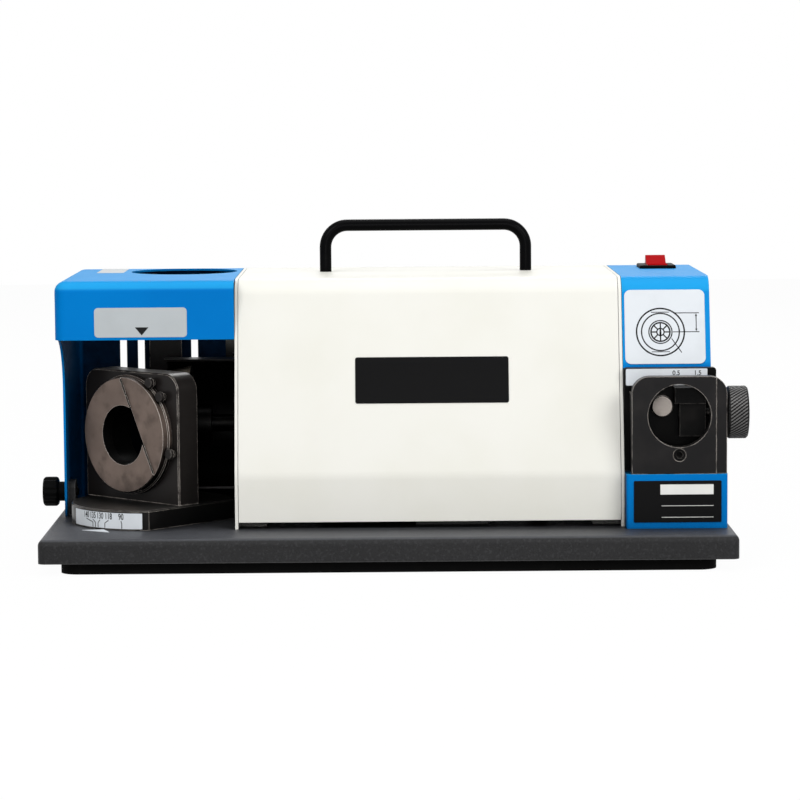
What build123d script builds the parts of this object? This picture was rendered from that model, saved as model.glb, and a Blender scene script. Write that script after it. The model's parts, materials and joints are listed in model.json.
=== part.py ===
"""Bench drill bit grinder: point angle station on the left, motor housing, setting gauge on the right."""
import math
import os

from build123d import *

# Clearances
FACE_GAP = 0.3
HOLE_GAP = 0.4
THREAD_GAP = 0.05
RUNNING_GAP = 0.05
BOND_GAP = 0.02

# Overall sizes: X to the right, Y to the back, Z up from the bench
BASE_LENGTH = 450.0
BASE_DEPTH = 230.0
SIDE_REACH = 9.5
FOOT_HEIGHT = 7.5
BASE_HEIGHT = 15.5
BODY_HEIGHT = 161.7
BACK_SETBACK = 10.3
SHEET = 1.5
LABEL = 0.3
BASE_TOP = FOOT_HEIGHT + BASE_HEIGHT
BODY_TOP = BASE_TOP + BODY_HEIGHT
BODY_BACK = BASE_DEPTH / 2 - BACK_SETBACK

# Screws: shank radius, head radius, head height
M4 = (2.0, 3.5, 2.6)
M5 = (2.5, 4.5, 3.2)
M6 = (3.0, 5.0, 5.0)
M4_LONG = 12.0
M5_SHORT = 7.0


def box(x0, x1, y0, y1, z0, z1):
    """Block between two corners."""
    middle = Pos((x0 + x1) / 2, (y0 + y1) / 2, (z0 + z1) / 2)
    return middle * Box(x1 - x0, y1 - y0, z1 - z0)


def rod_x(radius, x0, x1, y, z):
    """Round bar along X."""
    return Pos((x0 + x1) / 2, y, z) * Rot(0, 90, 0) * Cylinder(radius, x1 - x0)


def rod_y(radius, y0, y1, x, z):
    """Round bar along Y."""
    return Pos(x, (y0 + y1) / 2, z) * Rot(90, 0, 0) * Cylinder(radius, y1 - y0)


def rod_z(radius, z0, z1, x, y):
    """Round bar along Z."""
    return Pos(x, y, (z0 + z1) / 2) * Cylinder(radius, z1 - z0)


def hex_z(across, z0, z1, x, y):
    """Six-sided bar along Z."""
    face = RegularPolygon(across / 2, 6, major_radius=False)
    return Pos(x, y, z0) * extrude(face, z1 - z0)


def outline(points, radii):
    """Closed outline with a rounded corner at each point that has a radius."""
    shape = Polygon(*points)
    for point, radius in zip(points, radii):
        if radius:
            corner = shape.vertices().sort_by_distance((point[0], point[1], 0))[0]
            shape = fillet(corner, radius)
    return shape


def across(shape, x0, x1):
    """Side outline, drawn in Y and Z, given a width along X."""
    return Pos(x0, 0, 0) * extrude(Plane.YZ * shape, x1 - x0, dir=(1, 0, 0))


def upright(shape, y_front, y_back):
    """Front outline, drawn in X and Z, given a thickness along Y."""
    return Pos(0, y_back, 0) * extrude(Plane.XZ * shape, y_back - y_front, dir=(0, -1, 0))


def screw(size, length):
    """Screw that points down from the underside of its head at zero."""
    shank, head, height = size
    body = rod_z(head, 0, height, 0, 0) + rod_z(shank, -length, 0.1, 0, 0)
    rim = body.edges().group_by(Axis.Z)[-1]
    return fillet(rim, height * 0.3)


def group(shapes):
    """Several alike pieces kept in one node."""
    return Compound(children=list(shapes))


FACING_FRONT = Rot(90, 0, 0)
FACING_BACK = Rot(-90, 0, 0)
FACING_LEFT = Rot(0, -90, 0)
FACING_RIGHT = Rot(0, 90, 0)
FACING_DOWN = Rot(180, 0, 0)
long_screws = []
short_screws = []
panel_screws = []

# Shape shared by the cover, the bulkheads and the column
HOUSING_SETBACK = 44.4
FOLD_RISE = 34.8
LEAN = 13.9
FOLD_BEND = 20.0
TOP_BEND = 13.0
BACK_BEND = 6.0
BULKHEAD = 2.0
COVER_LIFT = 4.4
HOOD_INSET = 6.2
HOOD_WIDTH = 118.2
HOOD_SETBACK = 66.3
COLUMN_INSET = 12.7
COLUMN_WIDTH = 57.7
half_length = BASE_LENGTH / 2
half_depth = BASE_DEPTH / 2
side_end = half_length + SIDE_REACH
HOOD_LEFT = HOOD_INSET - half_length
HOOD_RIGHT = HOOD_LEFT + HOOD_WIDTH
HOOD_FRONT = HOOD_SETBACK - half_depth
LEFT_PLATE = HOOD_RIGHT + FACE_GAP
HOUSING_LEFT = LEFT_PLATE + BULKHEAD + FACE_GAP
COLUMN_RIGHT = half_length - COLUMN_INSET
COLUMN_LEFT = COLUMN_RIGHT - COLUMN_WIDTH
RIGHT_PLATE = COLUMN_LEFT - FACE_GAP
HOUSING_RIGHT = RIGHT_PLATE - BULKHEAD - FACE_GAP
HOUSING_MIDDLE = (HOUSING_LEFT + HOUSING_RIGHT) / 2
HOUSING_FRONT = HOUSING_SETBACK - half_depth
FOLD_Z = BASE_TOP + FOLD_RISE


def front_at(z):
    """Front of the leaning face at a height."""
    return HOUSING_FRONT + max(z - FOLD_Z, 0) * math.tan(math.radians(LEAN))


def body_outline(z_low):
    """Side outline of the housing down to a height."""
    points = [
        (HOUSING_FRONT, z_low),
        (HOUSING_FRONT, FOLD_Z),
        (front_at(BODY_TOP), BODY_TOP),
        (BODY_BACK, BODY_TOP),
        (BODY_BACK, z_low),
    ]
    return outline(points, (0, FOLD_BEND, TOP_BEND, BACK_BEND, 0))


# Swivel seat: the drill axis, the pivot and the point angle setting
SEAT_TURN = 43.3
PIVOT_INSET = 60.8
TABLE_RADIUS = 54.0
TABLE_THICK = 13.0
TABLE_FLAT = 38.2
TABLE_TOP = BASE_TOP + TABLE_THICK
SEAT_WIDTH = 92.0
SEAT_HEIGHT = 87.0
SEAT_THICK = 18.0
SEAT_CORNER = 12.0
SEAT_FRONT = -8.4
SEAT_BACK = SEAT_FRONT + SEAT_THICK
CHUCK_X = -10.8
CHUCK_RISE = 44.5
CHUCK_Z = TABLE_TOP + CHUCK_RISE
CHUCK_RADIUS = 20.0
CHUCK_FLAT = 15.0
CHUCK_FLAT_TURN = 27.0
RING_RADIUS = 38.5
RING_THICK = 8.0
RING_FLANGE_RADIUS = 40.0
RING_FLANGE = 2.5
RING_STEP = 1.2
RING_SCREW_RADIUS = 42.3
RING_SCREW_TURNS = (58.0, 40.0, -14.0)
TIP_REACH = 41.0

# Motor axis, and the seat's pivot placed so that the drill tip meets the wheel's front
WHEEL_RADIUS = 38.0
AXIS_SETBACK = 54.57
AXIS_Y = BODY_BACK - AXIS_SETBACK
AXIS_Z = CHUCK_Z
turn = math.radians(SEAT_TURN)
tip_x = CHUCK_X * math.cos(turn) + (SEAT_FRONT + TIP_REACH) * math.sin(turn)
tip_y = (SEAT_FRONT + TIP_REACH) * math.cos(turn) - CHUCK_X * math.sin(turn)
PIVOT_X = HOOD_LEFT + PIVOT_INSET
PIVOT_Y = AXIS_Y - WHEEL_RADIUS - tip_y
WHEEL_X = PIVOT_X + tip_x
SEAT = Pos(PIVOT_X, PIVOT_Y, 0) * Rot(0, 0, -SEAT_TURN)

nodes = {}

# Base casting and its rubber foot rails
BASE_CORNER = 5.0
BASE_ROUND = 4.0
BASE_SKIN = 6.0
BASE_END_WALL = 10.0
BASE_LAND = 35.0
RAIL_INSET = 13.5
RAIL_LENGTH = BASE_LENGTH - 2 * RAIL_INSET
RAIL_WIDTH = 24.0
RAIL_SETBACK = 6.0
RAIL_SCREW_PITCH = RAIL_LENGTH * 0.42
RAIL_SCREW_DEPTH = 5.0
SKIN_LOW = BASE_TOP - BASE_SKIN
rail_y = BASE_DEPTH / 2 - RAIL_SETBACK - RAIL_WIDTH / 2
rail_spots = [(x * RAIL_SCREW_PITCH, y) for y in (-rail_y, rail_y) for x in (-1, 0, 1)]

base = box(-half_length, half_length, -half_depth, half_depth, FOOT_HEIGHT, BASE_TOP)
base = fillet(base.edges().filter_by(Axis.Z), BASE_CORNER)
base = fillet(base.edges().group_by(Axis.Z)[-1], BASE_ROUND)
pocket_x = half_length - BASE_END_WALL
pocket_y = half_depth - BASE_LAND
base -= box(-pocket_x, pocket_x, -pocket_y, pocket_y, FOOT_HEIGHT, SKIN_LOW)
for x, y in rail_spots:
    base -= rod_z(M4[0] + THREAD_GAP, FOOT_HEIGHT, RAIL_SCREW_DEPTH + M4_LONG + 1, x, y)

rails = []
for y in (-rail_y, rail_y):
    rail = Pos(0, y, 0) * extrude(SlotOverall(RAIL_LENGTH, RAIL_WIDTH), FOOT_HEIGHT)
    for spot_x, spot_y in rail_spots:
        if spot_y == y:
            rail -= rod_z(M4[1] + HOLE_GAP, 0, RAIL_SCREW_DEPTH, spot_x, y)
            rail -= rod_z(M4[0] + HOLE_GAP, 0, FOOT_HEIGHT, spot_x, y)
    rails.append(rail)
nodes["foot_rails"] = group(rails)
rail_screw = FACING_DOWN * screw(M4, M4_LONG)
long_screws += [Pos(x, y, RAIL_SCREW_DEPTH) * rail_screw for x, y in rail_spots]

# Bulkheads at both ends of the motor space
FLANGE_WIDTH = 18.0
FLANGE_INSET = 14.0
TAB = 2.0
TAB_REACH = 14.0
TAB_HEIGHT = 18.0
SHAFT_HOLE = 15.0
LOOM_RADIUS = 2.5
LOOM_HOLE = 4.5
LOOM_SETBACK = 25.6
LOOM_RISE = 77.0
LOOM_Y = HOUSING_FRONT + LOOM_SETBACK
LOOM_Z = BASE_TOP + LOOM_RISE
COVER_SCREWS = (32.0, 40.0)
HOOD_SCREWS = (20.0, 60.0)
COLUMN_SCREWS = (12.0, 55.0)
cover_back_z, hood_back_z, column_back_z = [
    (BASE_TOP + rise, BODY_TOP - drop) for rise, drop in (COVER_SCREWS, HOOD_SCREWS, COLUMN_SCREWS)
]
back_inner = BODY_BACK - SHEET
front_inner = HOUSING_FRONT + SHEET
flange_spots_y = (HOUSING_FRONT + 2 * FLANGE_INSET, BODY_BACK - 2 * FLANGE_INSET)


def bulkhead(x_out, side, neighbour_z):
    """Upright end plate; side is +1 when the motor space lies towards +X."""
    x_in = x_out + side * BULKHEAD

    def strip(reach_from, reach, y0, y1, z0, z1):
        low, high = sorted((reach_from, reach_from + reach))
        return box(low, high, y0, y1, z0, z1)

    plate = across(body_outline(BASE_TOP), min(x_out, x_in), max(x_out, x_in))
    plate += strip(x_in - side, side * (FLANGE_WIDTH + 1), HOUSING_FRONT + FLANGE_INSET,
                   BODY_BACK - FLANGE_INSET, BASE_TOP, BASE_TOP + BULKHEAD)
    reach = side * (TAB_REACH + 1)
    top_low = BODY_TOP - SHEET - TAB
    plate += strip(x_in - side, reach, AXIS_Y - TAB_HEIGHT, AXIS_Y + TAB_HEIGHT, top_low, top_low + TAB)
    plate += strip(x_in - side, reach, front_inner, front_inner + TAB, FOLD_Z - TAB_HEIGHT, FOLD_Z - 6)
    tab_front = back_inner - TAB
    for z in cover_back_z:
        plate += strip(x_in - side, reach, tab_front, back_inner, z - TAB_HEIGHT / 2, z + TAB_HEIGHT / 2)
        plate -= rod_y(M4[0] + THREAD_GAP, tab_front, back_inner, x_in + side * TAB_REACH / 2, z)
    for z in neighbour_z:
        plate += strip(x_out + side, -reach, tab_front, back_inner, z - TAB_HEIGHT / 2, z + TAB_HEIGHT / 2)
        plate -= rod_y(M4[0] + THREAD_GAP, tab_front, back_inner, x_out - side * TAB_REACH / 2, z)
    for y in flange_spots_y:
        plate -= rod_z(M5[0] + HOLE_GAP, BASE_TOP, BASE_TOP + BULKHEAD, x_in + side * FLANGE_WIDTH * 0.6, y)
    return plate


left_plate = bulkhead(LEFT_PLATE, 1, hood_back_z)
left_plate -= rod_x(SHAFT_HOLE, LEFT_PLATE - 1, LEFT_PLATE + BULKHEAD + 1, AXIS_Y, AXIS_Z)
right_plate = bulkhead(RIGHT_PLATE, -1, column_back_z)
right_plate -= rod_x(LOOM_HOLE, RIGHT_PLATE - BULKHEAD - 1, RIGHT_PLATE + 1, LOOM_Y, LOOM_Z)
flange_spots_x = (
    LEFT_PLATE + BULKHEAD + FLANGE_WIDTH * 0.6,
    RIGHT_PLATE - BULKHEAD - FLANGE_WIDTH * 0.6,
)
flange_spots = [(x, y) for x in flange_spots_x for y in flange_spots_y]
for x, y in flange_spots:
    base -= rod_z(M5[0] + THREAD_GAP, SKIN_LOW, BASE_TOP, x, y)
flange_screw = screw(M5, M5_SHORT)
short_screws += [Pos(x, y, BASE_TOP + BULKHEAD) * flange_screw for x, y in flange_spots]

# Centre cover
HANDLE_SPAN = 137.2
HANDLE_SETBACK = 57.4
HANDLE_OFFSET = -0.4
HANDLE_LEFT = HOUSING_MIDDLE + HANDLE_OFFSET - HANDLE_SPAN / 2
HANDLE_RIGHT = HANDLE_LEFT + HANDLE_SPAN
HANDLE_Y = BODY_BACK - HANDLE_SETBACK
HANDLE_ROD = 4.0
HANDLE_STUD = 3.0
cover_low = BASE_TOP + COVER_LIFT
cover = across(body_outline(cover_low), HOUSING_LEFT, HOUSING_RIGHT)
hollow = offset(body_outline(cover_low - BASE_HEIGHT), -SHEET, kind=Kind.INTERSECTION)
cover -= across(hollow, HOUSING_LEFT - 1, HOUSING_RIGHT + 1)
for x in (HANDLE_LEFT, HANDLE_RIGHT):
    cover -= rod_z(HANDLE_STUD + HOLE_GAP, BODY_TOP - 2 * SHEET, BODY_TOP + 1, x, HANDLE_Y)
cover_spots = [(x, z) for z in cover_back_z for x in
               (LEFT_PLATE + BULKHEAD + TAB_REACH / 2, RIGHT_PLATE - BULKHEAD - TAB_REACH / 2)]
for x, z in cover_spots:
    cover -= rod_y(M4[0] + HOLE_GAP, back_inner - 1, BODY_BACK + 1, x, z)
nodes["centre_cover"] = cover
back_screw = FACING_BACK * screw(M4, SHEET + TAB + 3.0)
panel_screws += [Pos(x, BODY_BACK, z) * back_screw for x, z in cover_spots]

# Left hood: open at the front, slotted at the back, round opening on top
HOOD_APRON = 38.7
HOOD_MOUTH = 47.7
HOOD_CURVE = 36.0
HOOD_ROUND = 7.0
VENT_INSET = 57.3
VENT_PITCH = 12.55
VENT_WIDTH = 4.8
VENT_COUNT = 5
VENT_DROP = 15.7
VENT_HEIGHT = 60.0
TOP_HOLE_INSET = 78.8
TOP_HOLE_SETBACK = 42.7
TOP_HOLE_RADIUS = 36.5
VENT_MIDDLE = HOOD_LEFT + VENT_INSET
VENT_HIGH = BODY_TOP - VENT_DROP
VENT_LOW = VENT_HIGH - VENT_HEIGHT
TOP_HOLE_X = HOOD_LEFT + TOP_HOLE_INSET
TOP_HOLE_Y = BODY_BACK - TOP_HOLE_SETBACK
HOOD_WALL_FRONT = HOOD_FRONT + HOOD_MOUTH
apron_low = BODY_TOP - HOOD_APRON


def soft_box(x0, x1, y0, y1, z0, z1, radius):
    """Block with its top and left edges rounded, sharp at the right and at the foot."""
    body = box(x0, x1, y0, y1, z0, z1)
    uprights = body.edges().filter_by(Axis.Z).group_by(Axis.X)[0]
    tops = body.edges().group_by(Axis.Z)[-1]
    kept = [edge for edge in tops if edge.center().X < x1 - 0.01]
    return fillet(list(uprights) + kept, radius)


hood = soft_box(HOOD_LEFT, HOOD_RIGHT, HOOD_FRONT, BODY_BACK, BASE_TOP, BODY_TOP, HOOD_ROUND)
hood -= soft_box(HOOD_LEFT + SHEET, HOOD_RIGHT + 1, HOOD_FRONT + SHEET, BODY_BACK - SHEET,
                 BASE_TOP - 1, BODY_TOP - SHEET, HOOD_ROUND - SHEET)
mouth_points = [
    (HOOD_FRONT - 5, BASE_TOP - 5),
    (HOOD_WALL_FRONT, BASE_TOP - 5),
    (HOOD_WALL_FRONT, apron_low),
    (HOOD_FRONT - 5, apron_low),
]
hood -= across(outline(mouth_points, (0, 0, HOOD_CURVE, 0)), HOOD_LEFT - 1, HOOD_RIGHT + 1)
for i in range(VENT_COUNT):
    x = VENT_MIDDLE + (i - (VENT_COUNT - 1) / 2) * VENT_PITCH
    hood -= box(x - VENT_WIDTH / 2, x + VENT_WIDTH / 2, back_inner - 1, BODY_BACK + 1, VENT_LOW, VENT_HIGH)
hood -= rod_z(TOP_HOLE_RADIUS, BODY_TOP - 5, BODY_TOP + 1, TOP_HOLE_X, TOP_HOLE_Y)
hood_spots = [(LEFT_PLATE - TAB_REACH / 2, z) for z in hood_back_z]
for x, z in hood_spots:
    hood -= rod_y(M4[0] + HOLE_GAP, back_inner - 1, BODY_BACK + 1, x, z)
panel_screws += [Pos(x, BODY_BACK, z) * back_screw for x, z in hood_spots]

# Thumb screw that holds the hood's side to a lug on the base
THUMB_SETBACK = 14.0
THUMB_RISE = 15.5
THUMB_Y = HOOD_WALL_FRONT + THUMB_SETBACK
THUMB_Z = BASE_TOP + THUMB_RISE
THUMB_HEAD_RADIUS = 10.0
THUMB_HEAD_ROUND = 1.2
THUMB_NECK_RADIUS = 6.8
THUMB_NECK = 4.9
THUMB_STUD = 3.0
THUMB_END = 1.5
LUG = 5.0
LUG_WIDTH = 16.0
LUG_CORNER = 5.0
lug_left = HOOD_LEFT + SHEET
lug_right = lug_left + LUG
neck_left = HOOD_LEFT - FACE_GAP - THUMB_NECK
neck_right = neck_left + THUMB_NECK
head = rod_x(THUMB_HEAD_RADIUS, -side_end, neck_left, THUMB_Y, THUMB_Z)
head = fillet(head.edges().filter_by(GeomType.CIRCLE), THUMB_HEAD_ROUND)
neck = rod_x(THUMB_NECK_RADIUS, neck_left - 1, neck_right, THUMB_Y, THUMB_Z)
stud = rod_x(THUMB_STUD, neck_right - 1, lug_right + THUMB_END, THUMB_Y, THUMB_Z)
nodes["hood_thumb_screw"] = head + neck + stud
hood -= rod_x(THUMB_STUD + HOLE_GAP, HOOD_LEFT - 1, lug_left + 1, THUMB_Y, THUMB_Z)
nodes["hood"] = hood
lug_points = [
    (THUMB_Y - LUG_WIDTH / 2, BASE_TOP - 1),
    (THUMB_Y + LUG_WIDTH / 2, BASE_TOP - 1),
    (THUMB_Y + LUG_WIDTH / 2, THUMB_Z + LUG_WIDTH / 2),
    (THUMB_Y - LUG_WIDTH / 2, THUMB_Z + LUG_WIDTH / 2),
]
base += across(outline(lug_points, (0, 0, LUG_CORNER, LUG_CORNER)), lug_left, lug_right)
base -= rod_x(THUMB_STUD + RUNNING_GAP, lug_left - 1, lug_right + 1, THUMB_Y, THUMB_Z)

# Swivel table on its pivot bolt
PIVOT_SHANK = 5.0
PIVOT_HEAD = 8.0
PIVOT_HEAD_HEIGHT = 5.0
PIVOT_NUT = 5.5
PIVOT_NUT_ACROSS = 17.0
SEAT_BOLT_X = (-41.0, 20.0)
SEAT_BOLT_LENGTH = 22.0
SEAT_BOLT_SINK = 6.0
TABLE_GAP = 0.05
seat_mid = (SEAT_FRONT + SEAT_BACK) / 2
table = rod_z(TABLE_RADIUS, BASE_TOP + TABLE_GAP, TABLE_TOP, 0, 0)
table -= box(TABLE_FLAT, TABLE_RADIUS + 1, -TABLE_RADIUS, TABLE_RADIUS, BASE_TOP, TABLE_TOP + 1)
table = chamfer(table.edges().group_by(Axis.Z)[-1], 0.8)
head_low = TABLE_TOP - PIVOT_HEAD_HEIGHT - FACE_GAP
table -= rod_z(PIVOT_SHANK + RUNNING_GAP, BASE_TOP, TABLE_TOP, 0, 0)
table -= rod_z(PIVOT_HEAD + HOLE_GAP, head_low - TABLE_GAP, TABLE_TOP, 0, 0)
for x in SEAT_BOLT_X:
    table -= rod_z(M6[1] + HOLE_GAP, BASE_TOP, BASE_TOP + SEAT_BOLT_SINK, x, seat_mid)
    table -= rod_z(M6[0] + HOLE_GAP, BASE_TOP, TABLE_TOP, x, seat_mid)
nodes["swivel_table"] = SEAT * table
pivot = rod_z(PIVOT_HEAD, head_low, head_low + PIVOT_HEAD_HEIGHT, PIVOT_X, PIVOT_Y)
pivot += rod_z(PIVOT_SHANK, FOOT_HEIGHT + 2, head_low + 1, PIVOT_X, PIVOT_Y)
base -= rod_z(PIVOT_SHANK + THREAD_GAP, SKIN_LOW, BASE_TOP, PIVOT_X, PIVOT_Y)
pivot_nut = hex_z(PIVOT_NUT_ACROSS, SKIN_LOW - PIVOT_NUT, SKIN_LOW, PIVOT_X, PIVOT_Y)
pivot_nut -= rod_z(PIVOT_SHANK + THREAD_GAP, FOOT_HEIGHT, BASE_TOP, PIVOT_X, PIVOT_Y)
nodes["pivot_bolt"] = group((pivot, pivot_nut))

# Seat block that guides the chuck, and its cam ring
seat_left = CHUCK_X - SEAT_WIDTH / 2
seat_right = CHUCK_X + SEAT_WIDTH / 2
seat_points = [
    (seat_left, TABLE_TOP),
    (seat_right, TABLE_TOP),
    (seat_right, TABLE_TOP + SEAT_HEIGHT),
    (seat_left, TABLE_TOP + SEAT_HEIGHT),
]
seat_outline = outline(seat_points, (0, 0, SEAT_CORNER, SEAT_CORNER))
block = upright(seat_outline, SEAT_FRONT, SEAT_BACK)
rims = block.edges().filter_by(lambda edge: edge.center().Z > TABLE_TOP + 1)
block = chamfer([edge for edge in rims if abs(edge.center().Y - seat_mid) > SEAT_THICK / 2 - 0.1], 0.8)
block -= rod_y(CHUCK_RADIUS + 1.5, SEAT_FRONT - 1, SEAT_BACK + 1, CHUCK_X, CHUCK_Z)
bolt_end = BASE_TOP + SEAT_BOLT_SINK + SEAT_BOLT_LENGTH
for x in SEAT_BOLT_X:
    block -= rod_z(M6[0] + THREAD_GAP, TABLE_TOP, bolt_end + 2, x, seat_mid)
ring_screw_spots = [
    (
        CHUCK_X + RING_SCREW_RADIUS * math.cos(math.radians(angle)),
        CHUCK_Z + RING_SCREW_RADIUS * math.sin(math.radians(angle)),
    )
    for angle in RING_SCREW_TURNS
]
RING_SCREW_BITE = 8.0
RING_SCREW_LENGTH = RING_FLANGE + RING_SCREW_BITE
for x, z in ring_screw_spots:
    block -= rod_y(M4[0] + THREAD_GAP, SEAT_FRONT - 1, SEAT_FRONT + RING_SCREW_LENGTH, x, z)
nodes["seat_block"] = SEAT * block
seat_bolt = FACING_DOWN * screw(M6, SEAT_BOLT_LENGTH)
seat_bolts = [Pos(x, seat_mid, BASE_TOP + SEAT_BOLT_SINK) * seat_bolt for x in SEAT_BOLT_X]
nodes["seat_bolts"] = SEAT * group(seat_bolts)
ring_front = SEAT_FRONT - RING_THICK
ring = rod_y(RING_RADIUS, ring_front, SEAT_FRONT, CHUCK_X, CHUCK_Z)
ring = chamfer(ring.edges().group_by(Axis.Y)[0], 0.6)
ring += rod_y(RING_FLANGE_RADIUS, SEAT_FRONT - RING_FLANGE, SEAT_FRONT, CHUCK_X, CHUCK_Z)
bore = rod_y(CHUCK_RADIUS, ring_front - 1, SEAT_FRONT + 1, 0, 0)
bore -= box(CHUCK_FLAT, RING_RADIUS, ring_front - 2, SEAT_FRONT + 2, -RING_RADIUS, RING_RADIUS)
step = box(CHUCK_FLAT, RING_RADIUS + 1, ring_front - 1, ring_front + RING_STEP, -RING_RADIUS, RING_RADIUS)
ring -= Pos(CHUCK_X, 0, CHUCK_Z) * Rot(0, -CHUCK_FLAT_TURN, 0) * (bore + step)
nodes["cam_ring"] = SEAT * ring
ring_screw = FACING_FRONT * screw(M4, RING_SCREW_LENGTH - 1)
ring_screws = [Pos(x, SEAT_FRONT - RING_FLANGE, z) * ring_screw for x, z in ring_screw_spots]
nodes["ring_screws"] = SEAT * group(ring_screws)

# Point angle scale on the table's rim, and the pointer on the base
SCALE_START = 3.0
SCALE_END = 65.0
SCALE_MARGIN = 0.9
POINTER_TURN = 31.0
POINTER_HALF = 11.0
POINTER_DEPTH = 9.0


def round_front(radius, angle):
    """Point round the pivot, counted leftwards from the front."""
    turned = math.radians(-90 - angle)
    return (radius * math.cos(turned), radius * math.sin(turned))


scale_low = BASE_TOP + SCALE_MARGIN
scale_high = TABLE_TOP - SCALE_MARGIN - 0.8
strip = rod_z(TABLE_RADIUS + BOND_GAP + LABEL, scale_low, scale_high, 0, 0)
strip -= rod_z(TABLE_RADIUS + BOND_GAP, scale_low, scale_high, 0, 0)
scale_turns = (SCALE_START, (SCALE_START + SCALE_END) / 2, SCALE_END)
wedge = Polygon((0, 0), *[round_front(TABLE_RADIUS * 1.5, angle) for angle in scale_turns])
strip = strip & (Pos(0, 0, scale_low) * extrude(wedge, scale_high - scale_low, dir=(0, 0, 1)))
nodes["angle_scale"] = Pos(PIVOT_X, PIVOT_Y, 0) * strip
tip = TABLE_RADIUS + LABEL + 1.2
pointer_face = Polygon((tip, 0), (tip + POINTER_DEPTH, POINTER_HALF), (tip + POINTER_DEPTH, -POINTER_HALF))
pointer = Rot(0, 0, -90 - POINTER_TURN) * extrude(pointer_face, LABEL, dir=(0, 0, 1))
nodes["pointer"] = Pos(PIVOT_X, PIVOT_Y, BASE_TOP) * pointer

# Right column behind the gauge
PANEL_RISE = 103.5
PANEL_Z = BASE_TOP + PANEL_RISE
COLUMN_FRONT = front_at(PANEL_Z)
column_points = [
    (COLUMN_FRONT, BASE_TOP),
    (COLUMN_FRONT, PANEL_Z),
    (front_at(BODY_TOP), BODY_TOP),
    (BODY_BACK, BODY_TOP),
    (BODY_BACK, BASE_TOP),
]
column_hollow_points = [(y, z if z > BASE_TOP else BASE_TOP - BASE_HEIGHT) for y, z in column_points]
column_radii = (0, FOLD_BEND, TOP_BEND, BACK_BEND, 0)
column = across(outline(column_points, column_radii), COLUMN_LEFT, COLUMN_RIGHT)
hollow = offset(outline(column_hollow_points, column_radii), -SHEET, kind=Kind.INTERSECTION)
column -= across(hollow, COLUMN_LEFT - 1, COLUMN_RIGHT - SHEET)
column_spots = [(RIGHT_PLATE + TAB_REACH / 2, z) for z in column_back_z]
for x, z in column_spots:
    column -= rod_y(M4[0] + HOLE_GAP, back_inner - 1, BODY_BACK + 1, x, z)
panel_screws += [Pos(x, BODY_BACK, z) * back_screw for x, z in column_spots]
nodes["panel_screws"] = group(panel_screws)

# Rocker switch in the column's top
SWITCH_INSET = 32.1
SWITCH_SETBACK = 37.2
SWITCH_X = COLUMN_LEFT + SWITCH_INSET
SWITCH_Y = BODY_BACK - SWITCH_SETBACK
BEZEL_X = 25.0
BEZEL_Y = 31.0
BEZEL = 2.3
SWITCH_BODY_X = 21.0
SWITCH_BODY_Y = 29.0
SWITCH_DEPTH = 26.0
ROCKER_X = 13.6
ROCKER_ROUND = 13.4
ROCKER_PIVOT = 1.7
ROCKER_TILT = 13.0
ROCKER_SLOPE = 20.0
ROCKER_CREST = 3.6
ROCKER_LOW = 7.0
ROCKER_PIN = 1.5
pivot_z = BODY_TOP - ROCKER_PIVOT
switch = box(-BEZEL_X / 2, BEZEL_X / 2, -BEZEL_Y / 2, BEZEL_Y / 2, BODY_TOP, BODY_TOP + BEZEL)
switch = fillet(switch.edges().filter_by(Axis.Z), 2.0)
switch = fillet(switch.edges().group_by(Axis.Z)[-1], 1.0)
switch += box(-SWITCH_BODY_X / 2, SWITCH_BODY_X / 2, -SWITCH_BODY_Y / 2, SWITCH_BODY_Y / 2,
              BODY_TOP - SWITCH_DEPTH, BODY_TOP + 0.5)
well_x = ROCKER_X / 2 + FACE_GAP
well_y = ROCKER_ROUND + FACE_GAP
switch -= box(-well_x, well_x, -well_y, well_y, pivot_z - ROCKER_ROUND, BODY_TOP + BEZEL + 1)
switch -= rod_x(ROCKER_PIN + RUNNING_GAP, -well_x - 2, well_x + 2, 0, pivot_z)
nodes["switch_body"] = Pos(SWITCH_X, SWITCH_Y, 0) * switch
rise = ROCKER_CREST + ROCKER_ROUND * math.tan(math.radians(ROCKER_SLOPE))
rocker_points = [
    (-ROCKER_ROUND, -ROCKER_LOW),
    (ROCKER_ROUND, -ROCKER_LOW),
    (ROCKER_ROUND, rise),
    (0, ROCKER_CREST),
    (-ROCKER_ROUND, rise),
]
rocker = across(outline(rocker_points, (0, 0, 0, 0, 0)), -ROCKER_X / 2, ROCKER_X / 2)
rocker = rocker & rod_x(ROCKER_ROUND, -ROCKER_X / 2, ROCKER_X / 2, 0, 0)
rocker += rod_x(ROCKER_PIN, -well_x - 1.6, well_x + 1.6, 0, 0)
nodes["switch_rocker"] = Pos(SWITCH_X, SWITCH_Y, pivot_z) * Rot(ROCKER_TILT, 0, 0) * rocker
cut_x = SWITCH_BODY_X / 2 + FACE_GAP
cut_y = SWITCH_BODY_Y / 2 + FACE_GAP
column -= Pos(SWITCH_X, SWITCH_Y, 0) * box(-cut_x, cut_x, -cut_y, cut_y, BODY_TOP - 5, BODY_TOP + 1)

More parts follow.
